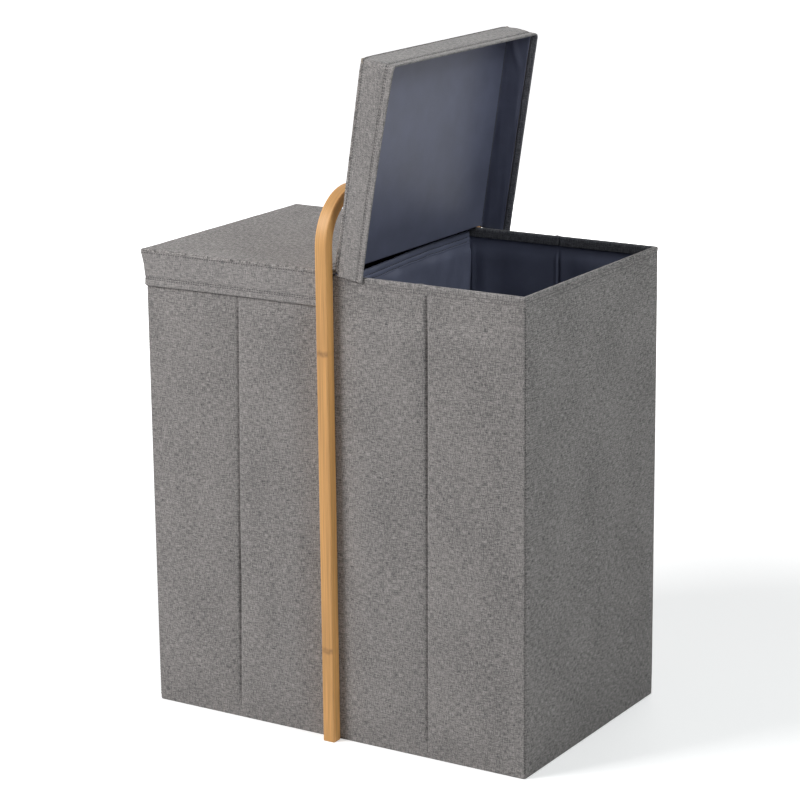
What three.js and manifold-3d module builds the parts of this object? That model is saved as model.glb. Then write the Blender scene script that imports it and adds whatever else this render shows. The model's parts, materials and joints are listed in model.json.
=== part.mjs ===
// A laundry hamper with two bins. Boards stand between a woven cover and a coated lining, a thin divider
// parts the two bins, each bin has a lid that turns up on a cloth hinge strip over the divider, and one bent
// bamboo strip goes over the middle from the front to the back as a carrying handle.
// Sizes are in millimetres. X runs to the right, Y to the back, and Z up. The origin is on the floor, under
// the centre of the body.
import * as THREE from "three";
import { mergeVertices } from "three/addons/utils/BufferGeometryUtils.js";
import Module from "manifold-3d";

const wasm = await Module();
wasm.setup();

// The body, over its cover
const bodyWidth = 548.6;
const bodyDepth = 342;
const rimHeight = 599;
const foldSeam = 140; // from the centre to the fold seams of the front and the back
const seamWidth = 1.6; // of the groove where the cloth is drawn in along a fold seam
const seamDepth = 0.5;
const dividerDrop = 12.5; // from the rim down to the divider's top edge

// The layers of a wall and of the floor
const coverCloth = 1;
const wallBoard = 2.6;
const liningCloth = 0.6;
const dividerBoard = 1.2;
const layerGap = 0.3; // air between two layers, round a screw and at a sewn edge
const foldGap = 4; // between two boards that fold on one seam
const rimHem = 20; // how far the cover is turned down inside the rim

// The bamboo strip
const stripWidth = 16.5;
const stripThickness = 15.1;
const stripRise = 102; // from the rim up to the strip's top
const stripBend = 70; // outer radius of its two bends
const stripRounding = 1.2; // of its long edges

// The screws that hold each leg of the strip
const screwHeadRadius = 3.6;
const screwHeadHeight = 2;
const screwShankRadius = 1.75;
const screwPoint = 3;
const screwGrip = 12; // length in the bamboo
const screwHeightShares = [0.12, 0.5, 0.88]; // of the rim's height

// The lids
const lidHinge = 13; // from the centre to the line that a lid turns on
const hingeGap = 0.3; // from that line to the lid and to the hinge strip
const hingeStripDrop = 0.5; // from that line down to the strip's top
const lidCloth = 0.8;
const lidBoard = 2;
const skirtBoard = 0.8;
const skirtBoardInset = 5; // from an outer corner of the lid to the ends of the skirt boards
const lidLiningCloth = 0.5;
const lidRimClearance = 0.5; // between the rim and the lid's underside
const skirtClearance = 0.5; // between the body and the inside of a skirt
const skirtDepth = 47; // from the lid's top to the skirt's lower edge
const skirtHem = 9;
const cornerSlit = 1.6; // the opening between two skirts at an outer corner
const leftLidAngle = 0; // degrees from closed
const rightLidAngle = 81.2;

// The stiff floor of each bin, which turns up at the divider
const floorBoard = 3;
const floorSheet = 0.5;
const floorClearance = 1.5; // to the lining on the three free edges
const floorHingeGap = 0.4; // from the divider's lining to the line that the floor turns on
const tabCloth = 0.8;
const tabLength = 34;
const tabWidth = 25;

// Working values
const cutOverrun = 2; // how far a cutting shape reaches past what it cuts
const mergeDistance = 0.001;
const roundSides = 16;
const bendSteps = 14;

// Places that follow from the sizes. A depth is measured from a wall's outer face inwards.
const halfWidth = bodyWidth / 2;
const halfDepth = bodyDepth / 2;
const boardStart = coverCloth + layerGap;
const boardEnd = boardStart + wallBoard;
const liningStart = boardEnd + layerGap;
const liningEnd = liningStart + liningCloth;
const hemStart = liningEnd + layerGap;
const hemEnd = hemStart + coverCloth;
const wallLow = coverCloth + layerGap;
const wallHigh = rimHeight - coverCloth - layerGap;
const dividerTop = rimHeight - dividerDrop;
const dividerLining = dividerBoard / 2 + layerGap; // from the centre to the lining on the divider
const dividerFace = dividerLining + liningCloth;
const screwLength = boardEnd + layerGap + screwGrip;

const lidUnder = rimHeight + lidRimClearance;
const lidBoardLow = lidUnder + lidLiningCloth + layerGap;
const lidBoardHigh = lidBoardLow + lidBoard;
const lidCoverLow = lidBoardHigh + layerGap;
const lidTop = lidCoverLow + lidCloth;
const hingeHeight = lidTop - lidCloth / 2;
const skirtLow = lidTop - skirtDepth;
const skirtBoardStart = lidCloth + layerGap;
const skirtBoardEnd = skirtBoardStart + skirtBoard;
const skirtLiningStart = skirtBoardEnd + layerGap;
const skirtLiningEnd = skirtLiningStart + lidLiningCloth;
const lidOuter = halfWidth + skirtClearance + skirtLiningEnd - lidHinge; // from the hinge line
const lidHalfDepth = halfDepth + skirtClearance + skirtLiningEnd;

const floorStart = dividerFace + floorHingeGap + layerGap;
const floorEnd = halfWidth - liningEnd - floorClearance;
const floorHalfDepth = halfDepth - liningEnd - floorClearance;
const floorLow = wallLow + liningCloth + layerGap;
const floorHigh = floorLow + floorBoard;
const sheetLow = floorHigh + layerGap;
const sheetHigh = sheetLow + floorSheet;
const tabLow = sheetHigh + layerGap;

const sides = [
  { name: "left", sign: -1, lidAngle: leftLidAngle },
  { name: "right", sign: 1, lidAngle: rightLidAngle },
];
const ends = [
  { name: "front", sign: -1 },
  { name: "back", sign: 1 },
];

// The stretch between two distances from a middle plane, on the side that the sign names
const stretch = (sign, near, far) => (sign > 0 ? [near, far] : [-far, -near]);
const across = (half) => [-half, half];

// The stretch between two depths of a wall or of a lid's skirt
const wallX = (sign, from, to) => stretch(sign, halfWidth - to, halfWidth - from);
const wallY = (sign, from, to) => stretch(sign, halfDepth - to, halfDepth - from);
const skirtX = (sign, from, to) => stretch(sign, lidOuter - to, lidOuter - from);
const skirtY = (sign, from, to) => stretch(sign, lidHalfDepth - to, lidHalfDepth - from);

// Closed shapes

function slab([x0, x1], [y0, y1], [z0, z1]) {
  const box = new THREE.BoxGeometry(x1 - x0, y1 - y0, z1 - z0);
  return box.translate((x0 + x1) / 2, (y0 + y1) / 2, (z0 + z1) / 2);
}

function toSolid(geometry) {
  const bare = geometry.clone();
  bare.deleteAttribute("normal");
  bare.deleteAttribute("uv");
  const merged = mergeVertices(bare, mergeDistance);
  return new wasm.Manifold(
    new wasm.Mesh({
      numProp: 3,
      vertProperties: merged.attributes.position.array,
      triVerts: new Uint32Array(merged.index.array),
    }),
  );
}

function toGeometry(solid) {
  const { vertProperties, triVerts } = solid.getMesh();
  const shared = new THREE.BufferGeometry();
  shared.setAttribute("position", new THREE.BufferAttribute(vertProperties.slice(), 3));
  shared.setIndex(new THREE.BufferAttribute(triVerts.slice(), 1));
  const flat = shared.toNonIndexed();
  flat.computeVertexNormals();
  return flat;
}

function cut(geometry, tools) {
  const cutters = tools.map(toSolid);
  return toGeometry(cutters.reduce((whole, tool) => whole.subtract(tool), toSolid(geometry)));
}

// Finishes

const finish = (color, roughness, metalness = 0) => () =>
  new THREE.MeshStandardMaterial({ color, roughness, metalness });
const wovenCloth = finish(0x8b8985, 0.95);
const coatedLining = finish(0x50566a, 0.45);
const bamboo = finish(0xd3a266, 0.5);
const battenWood = finish(0xc7a578, 0.7);
const greyBoard = finish(0x9c9488, 0.9);
const zincSteel = finish(0xb9bcbe, 0.35, 1);

function named(name, geometry, material) {
  const mesh = new THREE.Mesh(geometry, material());
  mesh.name = name;
  return mesh;
}

// The screws. The profile starts at the middle of the head and runs along +Y to the point.
function screwShape(clearance) {
  const start = clearance > 0 ? -cutOverrun : 0;
  const outline = [
    [0, start],
    [screwHeadRadius + clearance, start],
    [screwHeadRadius + clearance, 0],
    [screwShankRadius + clearance, screwHeadHeight],
    [screwShankRadius + clearance, screwLength - screwPoint + clearance],
    [0, screwLength + clearance],
  ];
  const points = outline.map(([radius, along]) => new THREE.Vector2(radius, along));
  const distinct = points.filter((point, i) => i === 0 || !point.equals(points[i - 1]));
  return new THREE.LatheGeometry(distinct, roundSides);
}

// Turns a shape made along +Y to point out of the front or the back, and sets it at a screw's place.
function atScrew(end, share, shape) {
  const turned = end.sign > 0 ? shape : shape.rotateZ(Math.PI);
  return turned.translate(0, end.sign * (halfDepth - boardEnd), share * rimHeight);
}

const screwHoles = (end) =>
  screwHeightShares.map((share) => atScrew(end, share, screwShape(layerGap)));

// The bamboo strip: an outline in the plane of Y and Z, carried across its width with rounded long edges
function bambooStrip() {
  const inner = halfDepth + layerGap;
  const outer = inner + stripThickness;
  const bendCentre = outer - stripBend;
  const bendHeight = rimHeight + stripRise - stripBend;
  const innerBend = stripBend - stripThickness;
  const outline = new THREE.Shape();
  outline.moveTo(-outer, 0);
  outline.lineTo(-inner, 0);
  outline.lineTo(-inner, bendHeight);
  outline.absarc(-bendCentre, bendHeight, innerBend, Math.PI, Math.PI / 2, true);
  outline.absarc(bendCentre, bendHeight, innerBend, Math.PI / 2, 0, true);
  outline.lineTo(inner, 0);
  outline.lineTo(outer, 0);
  outline.lineTo(outer, bendHeight);
  outline.absarc(bendCentre, bendHeight, stripBend, 0, Math.PI / 2, false);
  outline.absarc(-bendCentre, bendHeight, stripBend, Math.PI / 2, Math.PI, false);
  const strip = new THREE.ExtrudeGeometry(outline, {
    depth: stripWidth - 2 * stripRounding,
    curveSegments: bendSteps,
    bevelThickness: stripRounding,
    bevelSize: stripRounding,
    bevelOffset: -stripRounding,
    bevelSegments: 2,
  });
  strip.translate(0, 0, stripRounding - stripWidth / 2);
  const alongY = new THREE.Vector3(0, 1, 0);
  const alongZ = new THREE.Vector3(0, 0, 1);
  const alongX = new THREE.Vector3(1, 0, 0);
  strip.applyMatrix4(new THREE.Matrix4().makeBasis(alongY, alongZ, alongX));
  return cut(strip, ends.flatMap(screwHoles));
}

// The cover: a floor panel, a front and a back panel, and two side panels. Each wall panel is folded over
// the rim and hemmed inside.
const floorCover = () => slab(across(halfWidth), across(halfDepth), [0, coverCloth]);

// What is cut from a block to leave a wall panel's face, its fold over the rim and its hem. The wall is a
// function that gives the stretch between two depths.
function foldedPanel(blank, wall, along, cutters) {
  const low = wallLow - cutOverrun;
  const behindFace = slab(...along(wall(coverCloth, hemStart), [low, rimHeight - coverCloth]));
  const underHem = slab(...along(wall(coverCloth, hemEnd + cutOverrun), [low, rimHeight - rimHem]));
  return cut(blank, [behindFace, underHem, ...cutters]);
}

function endCover(end) {
  const wall = (from, to) => wallY(end.sign, from, to);
  const panel = across(halfWidth - coverCloth - layerGap);
  const blank = slab(panel, wall(0, hemEnd), [wallLow, rimHeight]);
  const along = (depth, height) => [across(halfWidth), depth, height];
  const behind = wall(coverCloth, hemEnd + cutOverrun);
  const low = wallLow - cutOverrun;
  const corners = sides.map((side) =>
    slab(
      stretch(side.sign, halfWidth - hemEnd - layerGap, halfWidth),
      behind,
      [low, rimHeight + cutOverrun],
    ),
  );
  const atDivider = slab(across(dividerFace + layerGap), behind, [low, rimHeight - coverCloth]);
  const seams = sides.map((side) =>
    slab(
      stretch(side.sign, foldSeam - seamWidth / 2, foldSeam + seamWidth / 2),
      wall(-cutOverrun, seamDepth),
      [low, rimHeight + cutOverrun],
    ),
  );
  return foldedPanel(blank, wall, along, [...corners, atDivider, ...seams, ...screwHoles(end)]);
}

function sideCover(side) {
  const wall = (from, to) => wallX(side.sign, from, to);
  const blank = slab(wall(0, hemEnd), across(halfDepth), [wallLow, rimHeight]);
  const along = (depth, height) => [depth, across(halfDepth + cutOverrun), height];
  const behind = wall(coverCloth, hemEnd + cutOverrun);
  const low = wallLow - cutOverrun;
  const past = halfDepth + cutOverrun;
  const corners = ends.flatMap((end) => [
    slab(
      behind,
      stretch(end.sign, halfDepth - coverCloth - layerGap, past),
      [low, rimHeight + cutOverrun],
    ),
    slab(behind, stretch(end.sign, halfDepth - hemStart, past), [low, rimHeight - coverCloth]),
  ]);
  return foldedPanel(blank, wall, along, corners);
}

// The lining of one bin: a cloth box, open at the top and lower on the divider
function binLining(side) {
  const outside = slab(
    stretch(side.sign, dividerLining, halfWidth - liningStart),
    across(halfDepth - liningStart),
    [wallLow, wallHigh],
  );
  const hollow = slab(
    stretch(side.sign, dividerFace, halfWidth - liningEnd),
    across(halfDepth - liningEnd),
    [wallLow + liningCloth, wallHigh + cutOverrun],
  );
  const overDivider = slab(
    stretch(side.sign, dividerLining - cutOverrun, dividerFace + cutOverrun),
    across(halfDepth - liningEnd),
    [dividerTop, wallHigh + cutOverrun],
  );
  return cut(outside, [hollow, overDivider]);
}

// The boards inside the walls. The front and the back fold on their seams, so each half has two boards.
const wallSpan = [wallLow, wallHigh];

const innerBoard = (side, end) =>
  slab(
    stretch(side.sign, stripWidth / 2 + foldGap, foldSeam - foldGap / 2),
    wallY(end.sign, boardStart, boardEnd),
    wallSpan,
  );

const outerBoard = (side, end) =>
  slab(
    stretch(side.sign, foldSeam + foldGap / 2, halfWidth - boardEnd - layerGap),
    wallY(end.sign, boardStart, boardEnd),
    wallSpan,
  );

const sideBoard = (side) =>
  slab(wallX(side.sign, boardStart, boardEnd), across(halfDepth - boardStart), wallSpan);

const dividerPanel = () =>
  slab(across(dividerBoard / 2), across(halfDepth - boardEnd - layerGap), [wallLow, dividerTop]);

// The wooden batten inside the wall, which a leg of the strip is screwed to
function batten(end) {
  const blank = slab(
    across(stripWidth / 2),
    wallY(end.sign, boardStart, boardEnd),
    wallSpan,
  );
  return cut(blank, screwHoles(end));
}

// The hinge strip lies over the front and the back rim, above the divider
const hingeStrip = () =>
  slab(across(lidHinge - hingeGap), across(halfDepth), [
    rimHeight + layerGap,
    hingeHeight - hingeStripDrop,
  ]);

// A lid, with its origin on the line that it turns on. Heights are those of the closed lid less the
// hinge's, and a lid has skirts on three sides, with none along the hinge.
const lidSpan = (low, high) => [low - hingeHeight, high - hingeHeight];

// A block of the lid that reaches to a depth inside the skirts, from the hinge line or past it
const lidBlock = (side, start, depth, height) =>
  slab(stretch(side.sign, start, lidOuter - depth), across(lidHalfDepth - depth), height);

function lidCover(side) {
  const pastHinge = hingeGap - cutOverrun;
  const hemHigh = skirtLow + skirtHem;
  const blank = lidBlock(side, hingeGap, 0, lidSpan(skirtLow, lidTop));
  const underTop = lidBlock(side, pastHinge, lidCloth, lidSpan(hemHigh, lidCoverLow));
  const insideHem = lidBlock(
    side,
    pastHinge,
    skirtLiningEnd,
    lidSpan(skirtLow - cutOverrun, hemHigh + lidCloth),
  );
  const hemSpan = lidSpan(skirtLow + lidCloth, hemHigh + lidCloth);
  const inHem = cut(lidBlock(side, pastHinge, lidCloth, hemSpan), [
    lidBlock(
      side,
      pastHinge - cutOverrun,
      skirtLiningStart,
      lidSpan(skirtLow, hemHigh + cutOverrun),
    ),
  ]);
  const slits = ends.map((end) =>
    slab(
      skirtX(side.sign, lidCloth, lidCloth + cornerSlit),
      skirtY(end.sign, -cutOverrun, lidCloth + layerGap / 2),
      lidSpan(hemHigh, lidCoverLow),
    ),
  );
  return cut(blank, [underTop, insideHem, inHem, ...slits]);
}

const lidTopBoard = (side) =>
  lidBlock(side, hingeGap, skirtBoardStart, lidSpan(lidBoardLow, lidBoardHigh));

const skirtBoardSpan = lidSpan(skirtLow + skirtHem + layerGap, lidBoardLow - layerGap);

const endSkirtBoard = (side, end) =>
  slab(
    stretch(side.sign, hingeGap, lidOuter - skirtBoardInset),
    skirtY(end.sign, skirtBoardStart, skirtBoardEnd),
    skirtBoardSpan,
  );

const sideSkirtBoard = (side) =>
  slab(
    skirtX(side.sign, skirtBoardStart, skirtBoardEnd),
    across(lidHalfDepth - skirtBoardInset),
    skirtBoardSpan,
  );

function lidLining(side) {
  const low = skirtLow + skirtHem + layerGap;
  const blank = lidBlock(
    side,
    hingeGap,
    skirtLiningStart,
    lidSpan(low, lidUnder + lidLiningCloth),
  );
  const hollow = lidBlock(
    side,
    hingeGap - cutOverrun,
    skirtLiningEnd,
    lidSpan(low - cutOverrun, lidUnder),
  );
  return cut(blank, [hollow]);
}

function lid(side) {
  const group = new THREE.Group();
  group.position.set(side.sign * lidHinge, 0, hingeHeight);
  group.rotation.y = -side.sign * THREE.MathUtils.degToRad(side.lidAngle);
  group.add(
    named(`${side.name}_lid_cover`, lidCover(side), wovenCloth),
    named(`${side.name}_lid_board`, lidTopBoard(side), greyBoard),
    named(`${side.name}_lid_side_skirt_board`, sideSkirtBoard(side), greyBoard),
    named(`${side.name}_lid_lining`, lidLining(side), coatedLining),
  );
  for (const end of ends) {
    const name = `${side.name}_lid_${end.name}_skirt_board`;
    group.add(named(name, endSkirtBoard(side, end), greyBoard));
  }
  return group;
}

// The floor of one bin: a stiff board, the lined sheet on it, and the tab that lifts it
function binFloor(side) {
  const board = slab(
    stretch(side.sign, floorStart, floorEnd),
    across(floorHalfDepth),
    [floorLow, floorHigh],
  );
  const sheet = slab(
    stretch(side.sign, floorStart, floorEnd),
    across(floorHalfDepth),
    [sheetLow, sheetHigh],
  );
  const tab = slab(
    stretch(side.sign, floorEnd - tabLength, floorEnd),
    across(tabWidth / 2),
    [tabLow, tabLow + tabCloth],
  );
  const group = new THREE.Group();
  group.add(
    named(`${side.name}_floor_board`, board, greyBoard),
    named(`${side.name}_floor_sheet`, sheet, coatedLining),
    named(`${side.name}_floor_tab`, tab, wovenCloth),
  );
  return group;
}

// One bin's own walls and lining
function bin(side) {
  const group = new THREE.Group();
  group.add(
    named(`${side.name}_cover`, sideCover(side), wovenCloth),
    named(`${side.name}_board`, sideBoard(side), greyBoard),
    named(`${side.name}_lining`, binLining(side), coatedLining),
  );
  for (const end of ends) {
    const name = `${side.name}_${end.name}`;
    group.add(
      named(`${name}_inner_board`, innerBoard(side, end), greyBoard),
      named(`${name}_outer_board`, outerBoard(side, end), greyBoard),
    );
  }
  return group;
}

// The front or the back: its cover, its batten and its screws
function wall(end) {
  const group = new THREE.Group();
  group.add(
    named(`${end.name}_cover`, endCover(end), wovenCloth),
    named(`${end.name}_batten`, batten(end), battenWood),
  );
  screwHeightShares.forEach((share, i) => {
    const screw = atScrew(end, share, screwShape(0));
    group.add(named(`${end.name}_leg_screw_${i + 1}`, screw, zincSteel));
  });
  return group;
}

const hamper = new THREE.Group();
hamper.add(
  named("bamboo_strip", bambooStrip(), bamboo),
  named("floor_cover", floorCover(), wovenCloth),
  named("divider_board", dividerPanel(), greyBoard),
  named("hinge_strip", hingeStrip(), wovenCloth),
  ...ends.map(wall),
  ...sides.map(bin),
  ...sides.map(binFloor),
  ...sides.map(lid),
);

export default hamper;
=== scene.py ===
"""Laundry hamper with two bins: the cloth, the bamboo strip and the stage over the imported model.

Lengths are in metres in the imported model's own frame: x to the right bin, y from the front to the
back, z up from the floor. The file is laid out as an add-on and is run as a script.
"""

import json
import math

import bpy
import numpy as np
from mathutils import Matrix, Vector


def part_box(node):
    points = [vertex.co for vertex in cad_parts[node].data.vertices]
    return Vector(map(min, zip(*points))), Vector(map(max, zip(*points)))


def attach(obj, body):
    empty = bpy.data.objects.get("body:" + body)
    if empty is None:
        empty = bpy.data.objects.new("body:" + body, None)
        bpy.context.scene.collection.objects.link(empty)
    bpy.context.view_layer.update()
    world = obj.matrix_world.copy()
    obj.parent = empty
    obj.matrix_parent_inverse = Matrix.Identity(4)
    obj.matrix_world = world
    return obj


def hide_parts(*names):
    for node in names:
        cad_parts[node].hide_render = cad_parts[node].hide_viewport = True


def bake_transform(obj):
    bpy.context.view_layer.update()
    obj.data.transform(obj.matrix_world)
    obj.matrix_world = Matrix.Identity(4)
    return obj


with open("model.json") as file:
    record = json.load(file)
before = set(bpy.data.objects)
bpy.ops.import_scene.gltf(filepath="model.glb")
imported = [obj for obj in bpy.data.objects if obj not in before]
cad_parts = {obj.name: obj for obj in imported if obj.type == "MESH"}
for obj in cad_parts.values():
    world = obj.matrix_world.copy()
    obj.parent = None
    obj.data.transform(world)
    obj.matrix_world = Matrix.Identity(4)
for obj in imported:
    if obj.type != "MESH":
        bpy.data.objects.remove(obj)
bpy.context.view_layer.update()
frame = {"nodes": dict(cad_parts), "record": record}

bl_info = {
    "name": "Laundry hamper with two bins",
    "version": (1, 0, 0),
    "blender": (4, 5, 0),
    "location": "3D View > Sidebar > Hamper",
    "description": "Makes the cloth, the bamboo strip and the stage of a laundry hamper with two bins",
    "category": "Object",
}

MM = 0.001


def span(node):
    """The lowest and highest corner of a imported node, as arrays."""
    low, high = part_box(node)
    return np.array(low), np.array(high)


JOINTS = {joint["name"]: joint for joint in frame["record"]["behaviour"]["joints"]}
HALF_WIDTH, HALF_DEPTH, RIM = (float(value) for value in span("right_cover")[1])
LINING_LOW, LINING_HIGH = span("right_lining")
STRIP_LOW, STRIP_HIGH = span("bamboo_strip")
HINGE_X, _, HINGE_Z = (float(value) for value in JOINTS["right_lid_hinge"]["pos_m"])
LEFT_LID_LOW, LEFT_LID_HIGH = span("left_lid_cover")
LID_REACH = float(-LEFT_LID_LOW[0]) - HINGE_X
LID_HALF_DEPTH = float(LEFT_LID_HIGH[1])
LID_RISE = float(LEFT_LID_HIGH[2]) - HINGE_Z
SKIRT = float(LEFT_LID_HIGH[2] - LEFT_LID_LOW[2])
OPEN_ANGLE = {"left": 0.0, "right": math.radians(-JOINTS["right_lid_hinge"]["range_deg"][0])}
SIGN = {"left": -1.0, "right": 1.0}
FOLD_SEAM = 140 * MM
INNER_CREASE = 134.6 * MM
LEG_REACH = 9.5 * MM  # the strip's leg covers the wall this far to either side of the middle
CROWN_END = 536 * MM, 557 * MM  # the wall's crown ends here, so that a lid's skirt goes over it
LINING_INSET, LINING_BEND = 2.45 * MM, 1.5 * MM  # of a lid's lining, in from the lid's sides
LINING_UNDER = -3.5 * MM  # lower face of a lid's lining, from the hinge line


# Number helpers


def smooth(low, high, value):
    """Zero at low and one at high, with 3t^2 - 2t^3 between them. It falls where low is above high."""
    t = np.clip((np.asarray(value, float) - low) / (high - low), 0.0, 1.0)
    return t * t * (3.0 - 2.0 * t)


def bell(value, width):
    """A bell curve of height one: e to the power of minus half the square of value over width."""
    return np.exp(-0.5 * (np.asarray(value, float) / width) ** 2)


def waves(a, b, seed, length):
    """A slack surface's height, about -1 to 1: eight cosines of a and b in seeded directions, summed.

    The wavelengths go from 0.6 to 1.8 times length.
    """
    count = 8
    rng = np.random.default_rng(seed)
    turn = rng.uniform(0.0, math.pi, count)
    size = rng.uniform(0.6, 1.8, count) * length
    phase = rng.uniform(0.0, 2 * math.pi, count)
    total = 0.0
    for k in range(count):
        way = a * np.cos(turn[k]) + b * np.sin(turn[k])
        total = total + np.cos(2 * math.pi * way / size[k] + phase[k])
    return total / math.sqrt(2.0 * count)


def spaced(low, high, coarse, fine=1 * MM, lines=(), width=4 * MM):
    """Grid places from low to high: coarse steps that shrink to fine ones near each of the lines.

    The number of steps per metre is added up along the way, and the places are where the sum passes
    equal parts of its total.
    """
    x = np.linspace(low, high, 4001)
    near = np.max([bell(x - line, width) for line in lines], axis=0) if len(lines) else np.zeros_like(x)
    density = 1 / coarse + (1 / fine - 1 / coarse) * near
    total = np.concatenate([[0.0], np.cumsum((density[1:] + density[:-1]) / 2 * np.diff(x))])
    steps = max(2, int(math.ceil(total[-1])))
    return np.interp(np.linspace(0.0, total[-1], steps + 1), total, x)


def along_path(points, axis):
    """Running length of a grid along one axis, as the mean over its lines."""
    steps = np.linalg.norm(np.diff(points, axis=axis), axis=2).mean(axis=1 - axis)
    return np.concatenate([[0.0], np.cumsum(steps)])


def joined(stretches, *parts):
    """Parts end to end, each as long as its stretch: arrays, or one number for a whole stretch."""
    return np.concatenate([part + np.zeros(len(stretch)) for part, stretch in zip(parts, stretches)])


def points_of(*parts):
    """Grids of x, y and z, each as small as it can be, made into one grid of points."""
    return np.stack(np.broadcast_arrays(*parts), axis=-1)


def unit(way):
    """Directions at length one."""
    return way / np.maximum(np.linalg.norm(way, axis=-1, keepdims=True), 1e-12)


# Meshes


def put_mesh(name, points, quads, uv=None, materials=(), zones=None):
    """A new object of quads from whole arrays, with an optional UV place in metres for each corner."""
    mesh = bpy.data.meshes.new(name)
    points = np.ascontiguousarray(points, np.float32)
    quads = np.ascontiguousarray(quads, np.int32)
    count = len(quads)
    mesh.vertices.add(len(points))
    mesh.vertices.foreach_set("co", points.ravel())
    mesh.loops.add(count * 4)
    mesh.loops.foreach_set("vertex_index", quads.ravel())
    mesh.polygons.add(count)
    mesh.polygons.foreach_set("loop_start", np.arange(0, count * 4, 4, dtype=np.int32))
    mesh.polygons.foreach_set("use_smooth", np.ones(count, bool))
    if zones is not None:
        mesh.polygons.foreach_set("material_index", np.ascontiguousarray(zones, np.int32))
    mesh.update(calc_edges=True)
    if uv is not None:
        layer = mesh.uv_layers.new(name="lay")
        layer.data.foreach_set("uv", np.ascontiguousarray(uv, np.float32).ravel())
    mesh.validate()
    for material in materials:
        mesh.materials.append(material)
    piece = bpy.data.objects.new(name, mesh)
    bpy.context.scene.collection.objects.link(piece)
    return piece


def sheet_mesh(name, middle, thickness, finishes, zones=None, ring=False, mirrored=False, uv=None):
    """A closed sheet of cloth about a grid of its middle surface, with the named finishes.

    Each point goes half the thickness to either side along the normal, which is the cross product of
    the two grid directions. A bead a third of the thickness further out joins the faces at each free
    edge. The UV place is the running length along the grid, in metres. The zones are the finish's
    number for each quad. A ring is closed along its first direction.
    """
    middle = np.array(middle, float)
    if mirrored:
        middle = middle[::-1]
        zones = None if zones is None else zones[::-1]
        uv = None if uv is None else uv[::-1]
    rows, columns = middle.shape[:2]
    first = (np.roll(middle, -1, 0) - np.roll(middle, 1, 0)) / 2 if ring else np.gradient(middle, axis=0)
    closed = np.concatenate([middle, middle[:1]]) if ring else middle
    second = np.gradient(middle, axis=1)
    normal = unit(np.cross(first, second))
    if uv is None:
        uv = points_of(along_path(closed, 0)[:, None], along_path(closed, 1)[None])
    half = thickness / 2
    number = np.arange(rows * columns).reshape(rows, columns)
    last = rows if ring else rows - 1
    i, j = (part.ravel() for part in np.meshgrid(np.arange(last), np.arange(columns - 1), indexing="ij"))
    corner = [(i, j), (i + 1, j), (i + 1, j + 1), (i, j + 1)]
    face = np.stack([number[a % rows, b] for a, b in corner], axis=1)
    place = np.stack([uv[a, b] for a, b in corner], axis=1)
    zone = np.zeros((last, columns - 1), int) if zones is None else np.asarray(zones)
    total = rows * columns
    points = [(middle + normal * half).reshape(-1, 3), (middle - normal * half).reshape(-1, 3)]
    quads = [face, face[:, ::-1] + total]
    places = [place, place[:, ::-1]]
    kinds = [zone.ravel(), zone.ravel()]
    low, high, left, right = -unit(second[:, 0]), unit(second[:, -1]), -unit(first[0]), unit(first[-1])
    if ring:
        around, none = np.arange(rows + 1), np.zeros(rows + 1, int)
        edges = [(around, none, low, 1), (around, none + columns - 1, high, -1)]
    else:
        i0, j0 = np.arange(rows), np.arange(columns)
        a = joined((i0, j0[1:], i0[1:], j0[1:]), i0, rows - 1, i0[::-1][1:], 0).astype(int)
        b = joined((i0, j0[1:], i0[1:], j0[1:]), 0, j0[1:], columns - 1, j0[::-1][1:]).astype(int)
        way = np.zeros_like(middle)
        way[:, 0] += low
        way[:, -1] += high
        way[0] += left
        way[-1] += right
        edges = [(a, b, unit(way), 1)]
    start = 2 * total
    for a, b, way, turn in edges:
        count = len(a) - 1
        ways = way[a[:-1] % rows] if way.ndim == 2 else way[a[:-1] % rows, b[:-1]]
        points.append(middle[a[:-1] % rows, b[:-1]] + ways * half * 0.7)
        bead = start + np.arange(count)
        bead_next = start + (np.arange(count) + 1) % count
        here, there = number[a[:-1] % rows, b[:-1]], number[a[1:] % rows, b[1:]]
        at, to = uv[a[:-1], b[:-1]], uv[a[1:], b[1:]]
        strips = [np.stack([there, here, bead, bead_next], axis=1),
                  np.stack([here + total, there + total, bead_next, bead], axis=1)]
        strip_places = [np.stack([to, at, at, to], axis=1), np.stack([at, to, to, at], axis=1)]
        quads += [strip[:, ::turn] for strip in strips]
        places += [strip[:, ::turn] for strip in strip_places]
        kinds += 2 * [zone[np.minimum(a[:-1], last - 1), np.minimum(b[:-1], columns - 2)]]
        start += count
    points, quads, places, kinds = (np.concatenate(part) for part in (points, quads, places, kinds))
    return put_mesh(name, points, quads, places, [finish_of(key) for key in finishes], kinds)


def bar_mesh(name, rings, finish):
    """A closed bar: rings of points in order around it, joined, with a ladder of quads over each end."""
    rings = np.array(rings, float)
    count, around = rings.shape[:2]
    i, j = (part.ravel() for part in np.meshgrid(np.arange(count - 1), np.arange(around), indexing="ij"))
    number = np.arange(count * around).reshape(count, around)
    corner = [(i, j), (i, j + 1), (i + 1, j + 1), (i + 1, j)]
    sides = np.stack([number[a, b % around] for a, b in corner], axis=1)
    k = np.arange(around // 2 - 1)
    ladder = np.stack([k, k + 1, around - 2 - k, around - 1 - k], axis=1)
    quads = np.concatenate([sides, ladder[:, ::-1], ladder + (count - 1) * around])
    closed = np.concatenate([rings, rings[:, :1]], axis=1)
    u, v = along_path(closed, 0), along_path(closed, 1)
    side_uv = np.stack([np.stack([u[a], v[b]], axis=1) for a, b in corner], axis=1)
    end_uv = np.stack([np.zeros(ladder.size), v[ladder.ravel()]], axis=1).reshape(-1, 4, 2)
    places = np.concatenate([side_uv, end_uv[:, ::-1], end_uv + np.array([u[-1], 0.0])])
    return put_mesh(name, rings.reshape(-1, 3), quads, places, (finish_of(finish),))


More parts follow.
